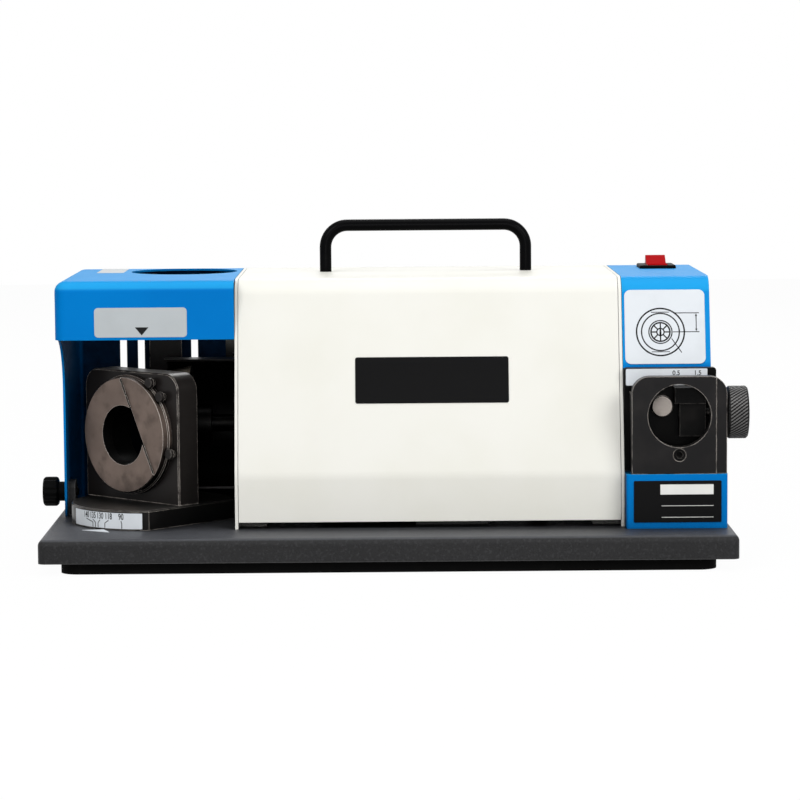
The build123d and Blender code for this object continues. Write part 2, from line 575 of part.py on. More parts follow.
# Cord gland in the column's back, left empty
GLAND_RISE = 37.0
GLAND_X = SWITCH_X
GLAND_Z = BASE_TOP + GLAND_RISE
GLAND_RADIUS = 8.0
GLAND_BORE = 3.6
GLAND_OUT = 8.0
GLAND_IN = 14.0
GLAND_ACROSS = 20.0
GLAND_NUT = 4.0
gland = Pos(0, BODY_BACK, 0) * FACING_BACK * hex_z(GLAND_ACROSS, 0, GLAND_OUT, 0, 0)
gland += rod_y(GLAND_RADIUS, BODY_BACK - GLAND_IN, BODY_BACK + 1, 0, 0)
gland -= rod_y(GLAND_BORE, BODY_BACK - GLAND_IN - 1, BODY_BACK + GLAND_OUT + 1, 0, 0)
gland_nut = Pos(0, back_inner, 0) * FACING_FRONT * hex_z(GLAND_ACROSS, 0, GLAND_NUT, 0, 0)
gland_nut -= rod_y(GLAND_RADIUS + THREAD_GAP, back_inner - GLAND_NUT - 1, BODY_BACK, 0, 0)
nodes["cord_gland"] = Pos(GLAND_X, 0, GLAND_Z) * group((gland, gland_nut))
column -= rod_y(GLAND_RADIUS + HOLE_GAP, back_inner - 1, BODY_BACK + 1, GLAND_X, GLAND_Z)

# Front box that carries the gauge
FRONT_BOX_HEIGHT = 35.5
FRONT_BOX_SETBACK = 33.3
FRONT_BOX_INSET = 4.4
FRONT_BOX_TOP = BASE_TOP + FRONT_BOX_HEIGHT
FRONT_BOX_FRONT = FRONT_BOX_SETBACK - half_depth
FRONT_BOX_RIGHT = half_length - FRONT_BOX_INSET
front_box = box(COLUMN_LEFT, FRONT_BOX_RIGHT, FRONT_BOX_FRONT, COLUMN_FRONT, BASE_TOP, FRONT_BOX_TOP)
uprights = front_box.edges().filter_by(Axis.Z).group_by(Axis.Y)[0]
front_box = fillet(uprights, 2.0)
front_box -= box(COLUMN_LEFT + SHEET, FRONT_BOX_RIGHT - SHEET, FRONT_BOX_FRONT + SHEET, COLUMN_FRONT + 1,
                 BASE_TOP - 1, FRONT_BOX_TOP - SHEET)
nodes["front_box"] = front_box

# Setting gauge: body with two cheeks, back plate, and a jaw driven by a lead screw
GAUGE_INSET = 34.7
GAUGE_WIDTH = 62.0
GAUGE_HEIGHT = 63.7
GAUGE_CORNER = 11.5
GAUGE_SETBACK = 0.7
GAUGE_PLATE = 8.0
GAUGE_HOLE = 20.5
GAUGE_HOLE_RISE = 37.9
GAUGE_REBATE = 7.0
GAUGE_REBATE_DEPTH = 1.5
GAUGE_BACK = 5.8
GAUGE_BACK_REACH = 25.9
GAUGE_BACK_DROP = 0.5
CHEEK_LEFT = 6.0
CHEEK_RIGHT = 11.5
CHEEK_WALL = 6.5
CHEEK_STEP = 1.0
JAW_OFFSET = 2.3
JAW_WIDTH = 20.2
JAW_NOTCH = 3.2
JAW_BELOW = 14.4
JAW_ABOVE = 17.6
JAW_STEP_RISE = 7.1
JAW_STEP = 1.8
JAW_GAP = 0.8
PIN_OFFSET = 10.4
PIN_RISE = 5.3
PIN_RADIUS = 7.1
LEAD_RISE = 0.9
LEAD_RADIUS = 3.0
LEAD_COLLAR = 5.5
LEAD_COLLAR_WIDTH = 1.0
LEAD_PLAY = 0.1
LEAD_INSET = 1.5
KNOB_RADIUS = 17.25
KNOB_COLLAR = 7.0
KNOB_GAP = 1.0
KNOB_CAP = 3.0
SET_SCREW_RISE = 12.4
SET_SCREW_RADIUS = 4.0
CHEEK_BOLT_INSET = 3.2
LEFT_BOLT_RISES = (8.0, 45.5)
RIGHT_BOLT_RISES = (5.0, 16.5)
GAUGE_MOUNTS = (-17.3, 13.7)
GAUGE_X = COLUMN_LEFT + GAUGE_INSET
GAUGE_FRONT = FRONT_BOX_FRONT + GAUGE_SETBACK
GAUGE_HOLE_Z = FRONT_BOX_TOP + GAUGE_HOLE_RISE
GAUGE_BACK_RIGHT = GAUGE_X + GAUGE_BACK_REACH
GAUGE_BACK_TOP = PANEL_Z - GAUGE_BACK_DROP
JAW_LEFT = GAUGE_X - JAW_OFFSET
JAW_LOW = GAUGE_HOLE_Z - JAW_BELOW
JAW_HIGH = GAUGE_HOLE_Z + JAW_ABOVE
JAW_STEP_Z = GAUGE_HOLE_Z + JAW_STEP_RISE
PIN_X = GAUGE_X - PIN_OFFSET
PIN_Z = GAUGE_HOLE_Z + PIN_RISE
LEAD_Z = GAUGE_HOLE_Z + LEAD_RISE
SET_SCREW_Z = FRONT_BOX_TOP + SET_SCREW_RISE
gauge_left = GAUGE_X - GAUGE_WIDTH / 2
gauge_right = GAUGE_X + GAUGE_WIDTH / 2
gauge_top = FRONT_BOX_TOP + GAUGE_HEIGHT
plate_back = GAUGE_FRONT + GAUGE_PLATE
back_front = COLUMN_FRONT - GAUGE_BACK
lead_y = (plate_back + back_front) / 2
cheek_left_in = gauge_left + CHEEK_LEFT
cheek_right_in = gauge_right - CHEEK_RIGHT
cheek_wall_in = gauge_right - CHEEK_WALL
cheek_step = JAW_LOW - CHEEK_STEP
gauge_bolts = [(gauge_left + CHEEK_LEFT / 2, FRONT_BOX_TOP + rise) for rise in LEFT_BOLT_RISES]
gauge_bolts += [(cheek_right_in + CHEEK_BOLT_INSET, FRONT_BOX_TOP + rise) for rise in RIGHT_BOLT_RISES]
GAUGE_BOLT_BITE = 5.0
BOLT_SINK = M4[2] + FACE_GAP

plate_points = [
    (gauge_left, FRONT_BOX_TOP),
    (gauge_right, FRONT_BOX_TOP),
    (gauge_right, gauge_top),
    (gauge_left, gauge_top),
]
plate_outline = outline(plate_points, (0, 0, GAUGE_CORNER, GAUGE_CORNER))
plate = upright(plate_outline, GAUGE_FRONT, plate_back)
plate -= box(gauge_right - GAUGE_REBATE, gauge_right + 1, GAUGE_FRONT - 1, GAUGE_FRONT + GAUGE_REBATE_DEPTH,
             FRONT_BOX_TOP - 1, gauge_top + 1)
plate -= rod_y(GAUGE_HOLE, GAUGE_FRONT - 1, plate_back + 1, GAUGE_X, GAUGE_HOLE_Z)
plate -= rod_y(SET_SCREW_RADIUS + THREAD_GAP, GAUGE_FRONT - 1, plate_back + 1, GAUGE_X, SET_SCREW_Z)
cheek_top = gauge_top - GAUGE_CORNER
plate += box(gauge_left, cheek_left_in, plate_back - 1, back_front, FRONT_BOX_TOP, cheek_top)
plate += box(cheek_right_in, gauge_right, plate_back - 1, back_front, FRONT_BOX_TOP, cheek_step)
plate += box(cheek_wall_in, gauge_right, plate_back - 1, back_front, FRONT_BOX_TOP, cheek_top)
for x, z in gauge_bolts:
    plate -= rod_y(M4[0] + THREAD_GAP, plate_back - GAUGE_BOLT_BITE, back_front + 1, x, z)
plate -= rod_x(LEAD_RADIUS + RUNNING_GAP, cheek_wall_in - 1, gauge_right + 1, lead_y, LEAD_Z)
nodes["gauge_body"] = plate
back_points = [
    (COLUMN_LEFT, FRONT_BOX_TOP),
    (GAUGE_BACK_RIGHT, FRONT_BOX_TOP),
    (GAUGE_BACK_RIGHT, GAUGE_BACK_TOP),
    (COLUMN_LEFT, GAUGE_BACK_TOP),
]
back_plate = upright(outline(back_points, (0, 0, 2.0, 2.0)), back_front, COLUMN_FRONT)
back_plate -= rod_y(PIN_RADIUS + BOND_GAP, back_front - 1, COLUMN_FRONT + 1, PIN_X, PIN_Z)
for x, z in gauge_bolts:
    back_plate -= rod_y(M4[0] + HOLE_GAP, back_front - 1, COLUMN_FRONT + 1, x, z)
    back_plate -= rod_y(M4[1] + HOLE_GAP, COLUMN_FRONT - BOLT_SINK, COLUMN_FRONT + 1, x, z)
gauge_mounts = [(GAUGE_X + offset, SET_SCREW_Z) for offset in GAUGE_MOUNTS]
for x, z in gauge_mounts:
    back_plate -= rod_y(M5[0] + THREAD_GAP, back_front - 1, COLUMN_FRONT + 1, x, z)
    column -= rod_y(M5[0] + HOLE_GAP, COLUMN_FRONT - 1, COLUMN_FRONT + SHEET + 1, x, z)
nodes["gauge_back_plate"] = back_plate
gauge_mount_screw = FACING_BACK * screw(M5, M5_SHORT)
short_screws += [Pos(x, COLUMN_FRONT + SHEET, z) * gauge_mount_screw for x, z in gauge_mounts]
nodes["short_screws"] = group(short_screws)
gauge_bolt_length = COLUMN_FRONT - BOLT_SINK - plate_back + GAUGE_BOLT_BITE - 0.5
gauge_bolt = FACING_BACK * screw(M4, gauge_bolt_length)
nodes["gauge_bolts"] = group(
    Pos(x, COLUMN_FRONT - BOLT_SINK, z) * gauge_bolt for x, z in gauge_bolts
)
jaw_front = plate_back + JAW_GAP
jaw_back = back_front - FACE_GAP / 2
jaw_right = JAW_LEFT + JAW_WIDTH
jaw = box(JAW_LEFT, jaw_right, jaw_front, jaw_back, JAW_LOW, JAW_HIGH)
jaw -= box(JAW_LEFT - 1, jaw_right + 1, jaw_front - 1, jaw_front + JAW_STEP, JAW_LOW - 1, JAW_STEP_Z)
jaw -= box(JAW_LEFT - 1, JAW_LEFT + JAW_NOTCH, jaw_front - 1, jaw_back + 1, JAW_LOW - 1, JAW_STEP_Z)
jaw -= rod_x(LEAD_RADIUS + RUNNING_GAP, JAW_LEFT - 1, jaw_right + 1, lead_y, LEAD_Z)
nodes["gauge_jaw"] = jaw
stop_pin = rod_y(PIN_RADIUS, plate_back + 2, COLUMN_FRONT, PIN_X, PIN_Z)
nodes["gauge_stop_pin"] = chamfer(stop_pin.edges().group_by(Axis.Y)[0], 0.8)
knob_left = gauge_right + KNOB_GAP
lead_right = side_end - KNOB_CAP
lead_left = JAW_LEFT + JAW_NOTCH + LEAD_INSET
lead = rod_x(LEAD_RADIUS, lead_left, lead_right, lead_y, LEAD_Z)
collar_right = cheek_wall_in - LEAD_PLAY
lead += rod_x(LEAD_COLLAR, collar_right - LEAD_COLLAR_WIDTH, collar_right, lead_y, LEAD_Z)
nodes["gauge_lead_screw"] = lead
knob = rod_x(KNOB_RADIUS, knob_left, side_end, lead_y, LEAD_Z)
knob = fillet(knob.edges().filter_by(GeomType.CIRCLE), 1.6)
knob += rod_x(KNOB_COLLAR, gauge_right + LEAD_PLAY, knob_left + 1, lead_y, LEAD_Z)
knob -= rod_x(LEAD_RADIUS + BOND_GAP, gauge_right - 1, lead_right + BOND_GAP, lead_y, LEAD_Z)
nodes["gauge_knob"] = knob
set_screw = rod_y(SET_SCREW_RADIUS, GAUGE_FRONT + 0.4, plate_back - 0.4, GAUGE_X, SET_SCREW_Z)
socket = Pos(GAUGE_X, GAUGE_FRONT + 4.4, SET_SCREW_Z) * FACING_FRONT * hex_z(4.0, 0, 5, 0, 0)
nodes["gauge_set_screw"] = set_screw - socket
nodes["column"] = column

# Carrying handle
HANDLE_HEIGHT = 35.7
HANDLE_BEND = 15.0
STUD_REACH = 12.0
HANDLE_NUT = 5.0
HANDLE_NUT_ACROSS = 10.0
bar_z = BODY_TOP + HANDLE_HEIGHT - HANDLE_ROD
path = FilletPolyline(
    (HANDLE_LEFT, HANDLE_Y, BODY_TOP),
    (HANDLE_LEFT, HANDLE_Y, bar_z),
    (HANDLE_RIGHT, HANDLE_Y, bar_z),
    (HANDLE_RIGHT, HANDLE_Y, BODY_TOP),
    radius=HANDLE_BEND,
)
handle = sweep(Plane((HANDLE_LEFT, HANDLE_Y, BODY_TOP), z_dir=(0, 0, 1)) * Circle(HANDLE_ROD), path)
handle_nuts = []
for x in (HANDLE_LEFT, HANDLE_RIGHT):
    handle += rod_z(HANDLE_STUD, BODY_TOP - STUD_REACH, BODY_TOP + 1, x, HANDLE_Y)
    nut = hex_z(HANDLE_NUT_ACROSS, BODY_TOP - SHEET - HANDLE_NUT, BODY_TOP - SHEET, x, HANDLE_Y)
    handle_nuts.append(nut - rod_z(HANDLE_STUD + THREAD_GAP, BODY_TOP - STUD_REACH, BODY_TOP, x, HANDLE_Y))
nodes["handle"] = handle
nodes["handle_nuts"] = group(handle_nuts)

# Motor
MOTOR_INSET = 22.0
MOTOR_LEFT = HOUSING_LEFT + MOTOR_INSET
MOTOR_LENGTH = 148.0
SHELL_RADIUS = 42.0
SHELL_WALL = 2.0
CAP = 10.0
SPIGOT = 4.0
BEARING_RADIUS = 16.0
BEARING_WIDTH = 10.0
RACE_RADIUS = 9.0
SHAFT_RADIUS = 6.0
STATOR_BORE = 23.0
AIR_GAP = 0.4
CORE_LEFT = 32.0
CORE_LENGTH = 80.0
WINDING = 16.0
WINDING_INNER = 25.0
WINDING_OUTER = 37.0
FAN_RADIUS = 34.0
FAN_WIDTH = 12.0
FAN_BLADES = 8
motor_right = MOTOR_LEFT + MOTOR_LENGTH
shell_inner = SHELL_RADIUS - SHELL_WALL
core_left = MOTOR_LEFT + CORE_LEFT
core_right = core_left + CORE_LENGTH


def tube(outer, inner, x0, x1):
    """Ring about the motor axis."""
    ring_body = rod_x(outer, x0, x1, AXIS_Y, AXIS_Z)
    return ring_body - rod_x(inner, x0 - 1, x1 + 1, AXIS_Y, AXIS_Z)


nodes["motor_shell"] = tube(SHELL_RADIUS, shell_inner, MOTOR_LEFT, motor_right)
left_cap = tube(SHELL_RADIUS, SHAFT_RADIUS + 2, MOTOR_LEFT - CAP, MOTOR_LEFT)
left_cap += tube(shell_inner - BOND_GAP, BEARING_RADIUS, MOTOR_LEFT - 1, MOTOR_LEFT + SPIGOT)
bearing_left = MOTOR_LEFT - CAP + 4.0
left_cap -= rod_x(BEARING_RADIUS + BOND_GAP, bearing_left, MOTOR_LEFT + SPIGOT + 1, AXIS_Y, AXIS_Z)
nodes["motor_cap_left"] = left_cap
right_cap = rod_x(SHELL_RADIUS, motor_right, motor_right + CAP, AXIS_Y, AXIS_Z)
right_cap += tube(shell_inner - BOND_GAP, BEARING_RADIUS, motor_right - SPIGOT, motor_right + 1)
bearing_right = motor_right + CAP - 4.0
right_cap -= rod_x(BEARING_RADIUS + BOND_GAP, motor_right - SPIGOT - 1, bearing_right, AXIS_Y, AXIS_Z)
nodes["motor_cap_right"] = right_cap
nodes["stator_core"] = tube(shell_inner - BOND_GAP, STATOR_BORE, core_left, core_right)
nodes["stator_windings"] = group((
    tube(WINDING_OUTER, WINDING_INNER, core_left - WINDING, core_left),
    tube(WINDING_OUTER, WINDING_INNER, core_right, core_right + WINDING),
))
nodes["rotor_core"] = tube(STATOR_BORE - AIR_GAP, SHAFT_RADIUS + BOND_GAP, core_left - 2, core_right + 2)
races = ((bearing_left, bearing_left + BEARING_WIDTH), (bearing_right - BEARING_WIDTH, bearing_right))
race_gap = RACE_RADIUS + RUNNING_GAP
shaft_seat = SHAFT_RADIUS + BOND_GAP
nodes["bearing_outer_rings"] = group(tube(BEARING_RADIUS, race_gap, a, b) for a, b in races)
nodes["bearing_inner_rings"] = group(tube(RACE_RADIUS, shaft_seat, a, b) for a, b in races)
fan_left = core_right + WINDING + 2
fan_right = fan_left + FAN_WIDTH
fan = tube(SHAFT_RADIUS + 5, SHAFT_RADIUS + BOND_GAP, fan_left, fan_right)
fan += tube(FAN_RADIUS, SHAFT_RADIUS + 3, fan_right - 2, fan_right)
blade = Pos(0, AXIS_Y, AXIS_Z) * box(fan_left, fan_right - 1, -1, 1, SHAFT_RADIUS + 3, FAN_RADIUS)
fan_axis = Axis((0, AXIS_Y, AXIS_Z), (1, 0, 0))
for i in range(FAN_BLADES):
    fan += blade.rotate(fan_axis, 360 / FAN_BLADES * i)
nodes["cooling_fan"] = fan

# Grinding wheel on the shaft's left end
WHEEL_WIDTH = 16.0
WHEEL_BEVEL = 12.3
BAND = 3.0
HUB_RADIUS = 13.0
HUB_LENGTH = 14.0
WASHER_RADIUS = 12.0
WASHER = 3.0
END_RADIUS = 5.0
WHEEL_NUT = 8.0
WHEEL_NUT_ACROSS = 17.0
wheel_left = WHEEL_X - WHEEL_WIDTH / 2
wheel_right = WHEEL_X + WHEEL_WIDTH / 2
washer_left = wheel_left - WASHER
nut_left = washer_left - WHEEL_NUT
bevel = math.tan(math.radians(WHEEL_BEVEL)) * WHEEL_WIDTH / 2


def beveled(inset):
    """Wheel blank whose rim is wider towards the motor."""
    blank = Cone(WHEEL_RADIUS - inset - bevel, WHEEL_RADIUS - inset + bevel, WHEEL_WIDTH)
    return Pos(WHEEL_X, AXIS_Y, AXIS_Z) * FACING_RIGHT * blank


nodes["abrasive_band"] = beveled(0) - beveled(BAND)
wheel = beveled(BAND + BOND_GAP)
wheel -= rod_x(shaft_seat, wheel_left - 1, wheel_right + 1, AXIS_Y, AXIS_Z)
recess = WHEEL_RADIUS - BAND - bevel - 6
wheel -= tube(recess, WASHER_RADIUS + 3, wheel_left - 1, wheel_left + 4)
nodes["wheel_core"] = wheel
nodes["wheel_hub"] = tube(HUB_RADIUS, SHAFT_RADIUS + BOND_GAP, wheel_right, wheel_right + HUB_LENGTH)
washer = tube(WASHER_RADIUS, END_RADIUS + RUNNING_GAP, washer_left, wheel_left)
nut = Pos(nut_left, AXIS_Y, AXIS_Z) * FACING_RIGHT * hex_z(WHEEL_NUT_ACROSS, 0, WHEEL_NUT, 0, 0)
nut -= rod_x(END_RADIUS + RUNNING_GAP, nut_left - 1, washer_left + 1, AXIS_Y, AXIS_Z)
nodes["wheel_nut"] = group((washer, nut))
shaft = rod_x(SHAFT_RADIUS, wheel_left + 1, bearing_right - 0.5, AXIS_Y, AXIS_Z)
shaft += rod_x(END_RADIUS, nut_left - 2, wheel_left + 2, AXIS_Y, AXIS_Z)
nodes["motor_shaft"] = shaft

# Guard round the back of the wheel, open towards the seat, with an upright baffle behind it
GUARD_RADIUS = 45.5
GUARD_OPEN = 100.0
GUARD_FLANGE_INNER = 26.0
GUARD_SCREW_RADIUS = 36.0
BAFFLE = 2.0
BAFFLE_WIDTH = 22.7
BAFFLE_LEAP = 14.0
BAFFLE_LOW = 60.0
BAFFLE_STEP = 104.0
BAFFLE_HIGH = 174.0
guard_left = wheel_left - 2
guard = tube(GUARD_RADIUS, GUARD_RADIUS - SHEET, guard_left, LEFT_PLATE)
guard += tube(GUARD_RADIUS, GUARD_FLANGE_INNER, LEFT_PLATE - SHEET, LEFT_PLATE)
far = GUARD_RADIUS * 3
open_points = [(AXIS_Y, AXIS_Z)]
for angle in (GUARD_OPEN, 180.0, 360.0 - GUARD_OPEN):
    turned = math.radians(angle)
    open_points.append((AXIS_Y + far * math.cos(turned), AXIS_Z + far * math.sin(turned)))
guard -= across(Polygon(*open_points), guard_left - 1, LEFT_PLATE + 1)
baffle_left = guard_left - BAFFLE_LEAP
baffle_points = [
    (baffle_left, BAFFLE_LOW),
    (WHEEL_X, BAFFLE_LOW),
    (WHEEL_X, BAFFLE_STEP),
    (baffle_left + BAFFLE_WIDTH, BAFFLE_STEP),
    (baffle_left + BAFFLE_WIDTH, BAFFLE_HIGH),
    (baffle_left, BAFFLE_HIGH),
]
baffle_front = AXIS_Y + GUARD_RADIUS - SHEET
guard += upright(Polygon(*baffle_points), baffle_front, baffle_front + BAFFLE)
guard_spots = []
for angle in (-60.0, 0.0, 60.0):
    turned = math.radians(angle)
    guard_spots.append((AXIS_Y + GUARD_SCREW_RADIUS * math.cos(turned),
                        AXIS_Z + GUARD_SCREW_RADIUS * math.sin(turned)))
for y, z in guard_spots:
    guard -= rod_x(M4[0] + HOLE_GAP, LEFT_PLATE - SHEET - 1, LEFT_PLATE + 1, y, z)
    left_plate -= rod_x(M4[0] + THREAD_GAP, LEFT_PLATE - 1, LEFT_PLATE + BULKHEAD + 1, y, z)
nodes["wheel_guard"] = guard
guard_screw = FACING_LEFT * screw(M4, M4_LONG)
long_screws += [Pos(LEFT_PLATE - SHEET, y, z) * guard_screw for y, z in guard_spots]
nodes["bulkhead_left"] = left_plate
nodes["bulkhead_right"] = right_plate

# Motor cradle and straps
CRADLE_PLATE = 5.0
CRADLE_RIB = 8.0
CRADLE_HALF = 51.0
CRADLE_RIB_DROP = 14.0
CRADLE_OVERHANG = 4.0
CRADLE_BOLT_INSET = 22.0
CRADLE_EDGE = 3.0
STRAP = 1.5
CRADLE_RIB_TOP = AXIS_Z - CRADLE_RIB_DROP
cradle_left = core_left - CRADLE_OVERHANG
cradle_right = core_right + CRADLE_OVERHANG
rib_spans = ((cradle_left, cradle_left + CRADLE_RIB), (cradle_right - CRADLE_RIB, cradle_right))
cradle_front = AXIS_Y - CRADLE_HALF
cradle_back = AXIS_Y + CRADLE_HALF
cradle = box(cradle_left, cradle_right, cradle_front, cradle_back, BASE_TOP, BASE_TOP + CRADLE_PLATE)
seat_radius = SHELL_RADIUS + THREAD_GAP
strap_spots = []
straps = []
for a, b in rib_spans:
    cradle += box(a, b, cradle_front, cradle_back, BASE_TOP, CRADLE_RIB_TOP)
    cradle -= rod_x(seat_radius, a - 1, b + 1, AXIS_Y, AXIS_Z)
    strap = tube(SHELL_RADIUS + THREAD_GAP + STRAP, seat_radius, a, b)
    strap += box(a, b, cradle_front, cradle_back, CRADLE_RIB_TOP, CRADLE_RIB_TOP + STRAP)
    strap -= rod_x(seat_radius, a - 1, b + 1, AXIS_Y, AXIS_Z)
    strap -= box(a - 1, b + 1, cradle_front - 1, cradle_back + 1, 0, CRADLE_RIB_TOP)
    for y in (cradle_front + 4.5, cradle_back - 4.5):
        spot = ((a + b) / 2, y)
        strap_spots.append(spot)
        strap -= rod_z(M4[0] + HOLE_GAP, CRADLE_RIB_TOP - 1, CRADLE_RIB_TOP + STRAP + 1, *spot)
        cradle -= rod_z(M4[0] + THREAD_GAP, CRADLE_RIB_TOP - M4_LONG, CRADLE_RIB_TOP + 1, *spot)
    straps.append(strap)
cradle_bolt_x = (cradle_left + CRADLE_BOLT_INSET, cradle_right - CRADLE_BOLT_INSET)
cradle_bolt_y = (cradle_front + M6[1] + CRADLE_EDGE, cradle_back - M6[1] - CRADLE_EDGE)
cradle_spots = [(x, y) for x in cradle_bolt_x for y in cradle_bolt_y]
for x, y in cradle_spots:
    cradle -= rod_z(M6[0] + HOLE_GAP, BASE_TOP - 1, BASE_TOP + CRADLE_PLATE + 1, x, y)
    base -= rod_z(M6[0] + THREAD_GAP, SKIN_LOW, BASE_TOP, x, y)
nodes["motor_cradle"] = cradle
nodes["motor_straps"] = group(straps)
strap_screw = screw(M4, M4_LONG)
long_screws += [Pos(x, y, CRADLE_RIB_TOP + STRAP) * strap_screw for x, y in strap_spots]
nodes["long_screws"] = group(long_screws)
cradle_bolt = screw(M6, CRADLE_PLATE + BASE_SKIN)
nodes["cradle_bolts"] = group(Pos(x, y, BASE_TOP + CRADLE_PLATE) * cradle_bolt for x, y in cradle_spots)

# Run capacitor, its clip and the terminal block
CAPACITOR_RADIUS = 15.0
CAPACITOR_LENGTH = 60.0
CAPACITOR_INSET = 52.0
CAPACITOR_SETBACK = 45.6
CAPACITOR_X = HOUSING_RIGHT - CAPACITOR_INSET
CAPACITOR_Y = HOUSING_FRONT + CAPACITOR_SETBACK
CLIP = 1.5
CLIP_WIDTH = 12.0
CLIP_FOOT = 12.0
capacitor_z = BASE_TOP + CLIP + CAPACITOR_RADIUS + 0.5
capacitor = rod_x(CAPACITOR_RADIUS, CAPACITOR_X - CAPACITOR_LENGTH / 2, CAPACITOR_X + CAPACITOR_LENGTH / 2,
                  CAPACITOR_Y, capacitor_z)
nodes["capacitor"] = fillet(capacitor.edges().filter_by(GeomType.CIRCLE), 2.0)
clip_left = CAPACITOR_X - CLIP_WIDTH / 2
clip_right = CAPACITOR_X + CLIP_WIDTH / 2
clip = rod_x(CAPACITOR_RADIUS + CLIP + 0.5, clip_left, clip_right, CAPACITOR_Y, capacitor_z)
foot_y = (CAPACITOR_Y - CLIP_FOOT, CAPACITOR_Y + CLIP_FOOT)
clip += box(clip_left, clip_right, *foot_y, BASE_TOP, BASE_TOP + CLIP + 3)
clip -= rod_x(CAPACITOR_RADIUS + BOND_GAP, clip_left - 1, clip_right + 1, CAPACITOR_Y, capacitor_z)
nodes["capacitor_clip"] = clip
TERMINAL_INSET = 86.0
TERMINAL_LENGTH = 48.0
TERMINAL_X = (HOUSING_RIGHT - TERMINAL_INSET - TERMINAL_LENGTH, HOUSING_RIGHT - TERMINAL_INSET)
TERMINAL_Y = LOOM_Y
TERMINAL_WIDTH = 18.0
TERMINAL_HEIGHT = 15.0
TERMINAL_WAYS = 4
TERMINAL_HOLE = 2.5
TERMINAL_HOLE_DEPTH = 8.0
terminal_top = BASE_TOP + TERMINAL_HEIGHT
terminal_y = (TERMINAL_Y - TERMINAL_WIDTH / 2, TERMINAL_Y + TERMINAL_WIDTH / 2)
terminal = box(*TERMINAL_X, *terminal_y, BASE_TOP, terminal_top)
pitch = (TERMINAL_X[1] - TERMINAL_X[0]) / TERMINAL_WAYS
for i in range(TERMINAL_WAYS):
    x = TERMINAL_X[0] + (i + 0.5) * pitch
    for side in (-1, 1):
        y = TERMINAL_Y + side * TERMINAL_WIDTH / 4
        terminal -= rod_z(TERMINAL_HOLE, terminal_top - TERMINAL_HOLE_DEPTH, terminal_top + 1, x, y)
nodes["terminal_block"] = terminal

# Wiring between the gland, the switch, the terminals and the motor
LOOM_BEND = 8.0
LEAD_DROP = 18.0
motor_lead_x = TERMINAL_X[0] + pitch / 2
switch_lead_x = TERMINAL_X[1] - pitch
lead_z = AXIS_Z - LEAD_DROP
shell_front = AXIS_Y - math.sqrt(SHELL_RADIUS ** 2 - LEAD_DROP ** 2)
switch_low = BODY_TOP - SWITCH_DEPTH
gland_in = BODY_BACK - GLAND_IN - FACE_GAP
loom_paths = (
    (
        (motor_lead_x, TERMINAL_Y, terminal_top),
        (motor_lead_x, TERMINAL_Y, lead_z),
        (motor_lead_x, shell_front - 1.5, lead_z),
    ),
    (
        (switch_lead_x, TERMINAL_Y, terminal_top),
        (switch_lead_x, TERMINAL_Y, LOOM_Z),
        (SWITCH_X - 6, LOOM_Y, LOOM_Z),
        (SWITCH_X - 6, SWITCH_Y, LOOM_Z),
        (SWITCH_X - 6, SWITCH_Y, switch_low),
    ),
    (
        (GLAND_X, gland_in, GLAND_Z),
        (GLAND_X, SWITCH_Y + 6, GLAND_Z),
        (GLAND_X, SWITCH_Y + 6, switch_low),
    ),
)
wires = []
for points in loom_paths:
    path = FilletPolyline(*points, radius=LOOM_BEND)
    start = Vector(*points[0])
    along = Vector(*points[1]) - start
    wires.append(sweep(Plane(start, z_dir=along) * Circle(LOOM_RADIUS), path))
nodes["wiring_loom"] = group(wires)

# Labels without words: width, height and corner
HOOD_LABEL = (60.8, 19.5, 2.5)
HOOD_LABEL_LEFT = 26.5
HOOD_LABEL_RISE = 1.8
NAMEPLATE = (100.7, 30.7, 1.5)
NAMEPLATE_OFFSET = 2.15
NAMEPLATE_RISE = 61.0
DIAGRAM = (52.8, 49.4, 4.0)
DIAGRAM_LEFT = 1.6
DIAGRAM_RISE = 25.5
BOX_PLATE = (56.8, 27.1, 0.8)
BOX_PLATE_LEFT = 5.0
GAUGE_SCALE = (53.4, 10.9, 0.8)
GAUGE_SCALE_LEFT = 1.4
GAUGE_SCALE_DROP = 0.6


def label(size, x, z):
    """Rounded label about a point on an upright face, lying in front of zero."""
    width, height, corner = size
    face = fillet(Rectangle(width, height).vertices(), corner)
    return Pos(x, 0, z) * upright(face, -LABEL, 0)


def leaning_label(size, x, z):
    """The same on the leaning face."""
    return Pos(0, front_at(z), z) * Rot(-LEAN, 0, 0) * label(size, x, 0)


hood_label_x = HOOD_LEFT + HOOD_LABEL_LEFT + HOOD_LABEL[0] / 2
hood_label_z = apron_low + HOOD_LABEL_RISE + HOOD_LABEL[1] / 2
box_plate_x = COLUMN_LEFT + BOX_PLATE_LEFT + BOX_PLATE[0] / 2
gauge_scale_x = COLUMN_LEFT + GAUGE_SCALE_LEFT + GAUGE_SCALE[0] / 2
gauge_scale_z = GAUGE_BACK_TOP - GAUGE_SCALE_DROP - GAUGE_SCALE[1] / 2
diagram_x = COLUMN_LEFT + DIAGRAM_LEFT + DIAGRAM[0] / 2
nodes["hood_label"] = Pos(0, HOOD_FRONT, 0) * label(HOOD_LABEL, hood_label_x, hood_label_z)
nodes["nameplate"] = leaning_label(NAMEPLATE, HOUSING_MIDDLE + NAMEPLATE_OFFSET, FOLD_Z + NAMEPLATE_RISE)
nodes["diagram_label"] = leaning_label(DIAGRAM, diagram_x, PANEL_Z + DIAGRAM_RISE)
box_plate_z = (BASE_TOP + FRONT_BOX_TOP) / 2
nodes["box_plate"] = Pos(0, FRONT_BOX_FRONT, 0) * label(BOX_PLATE, box_plate_x, box_plate_z)
nodes["gauge_scale"] = Pos(0, back_front, 0) * label(GAUGE_SCALE, gauge_scale_x, gauge_scale_z)

nodes["base"] = base

os.makedirs("parts", exist_ok=True)
for name, shape in nodes.items():
    shape.label = name
    export_step(shape, f"parts/{name}.step")
print(len(nodes), "nodes")
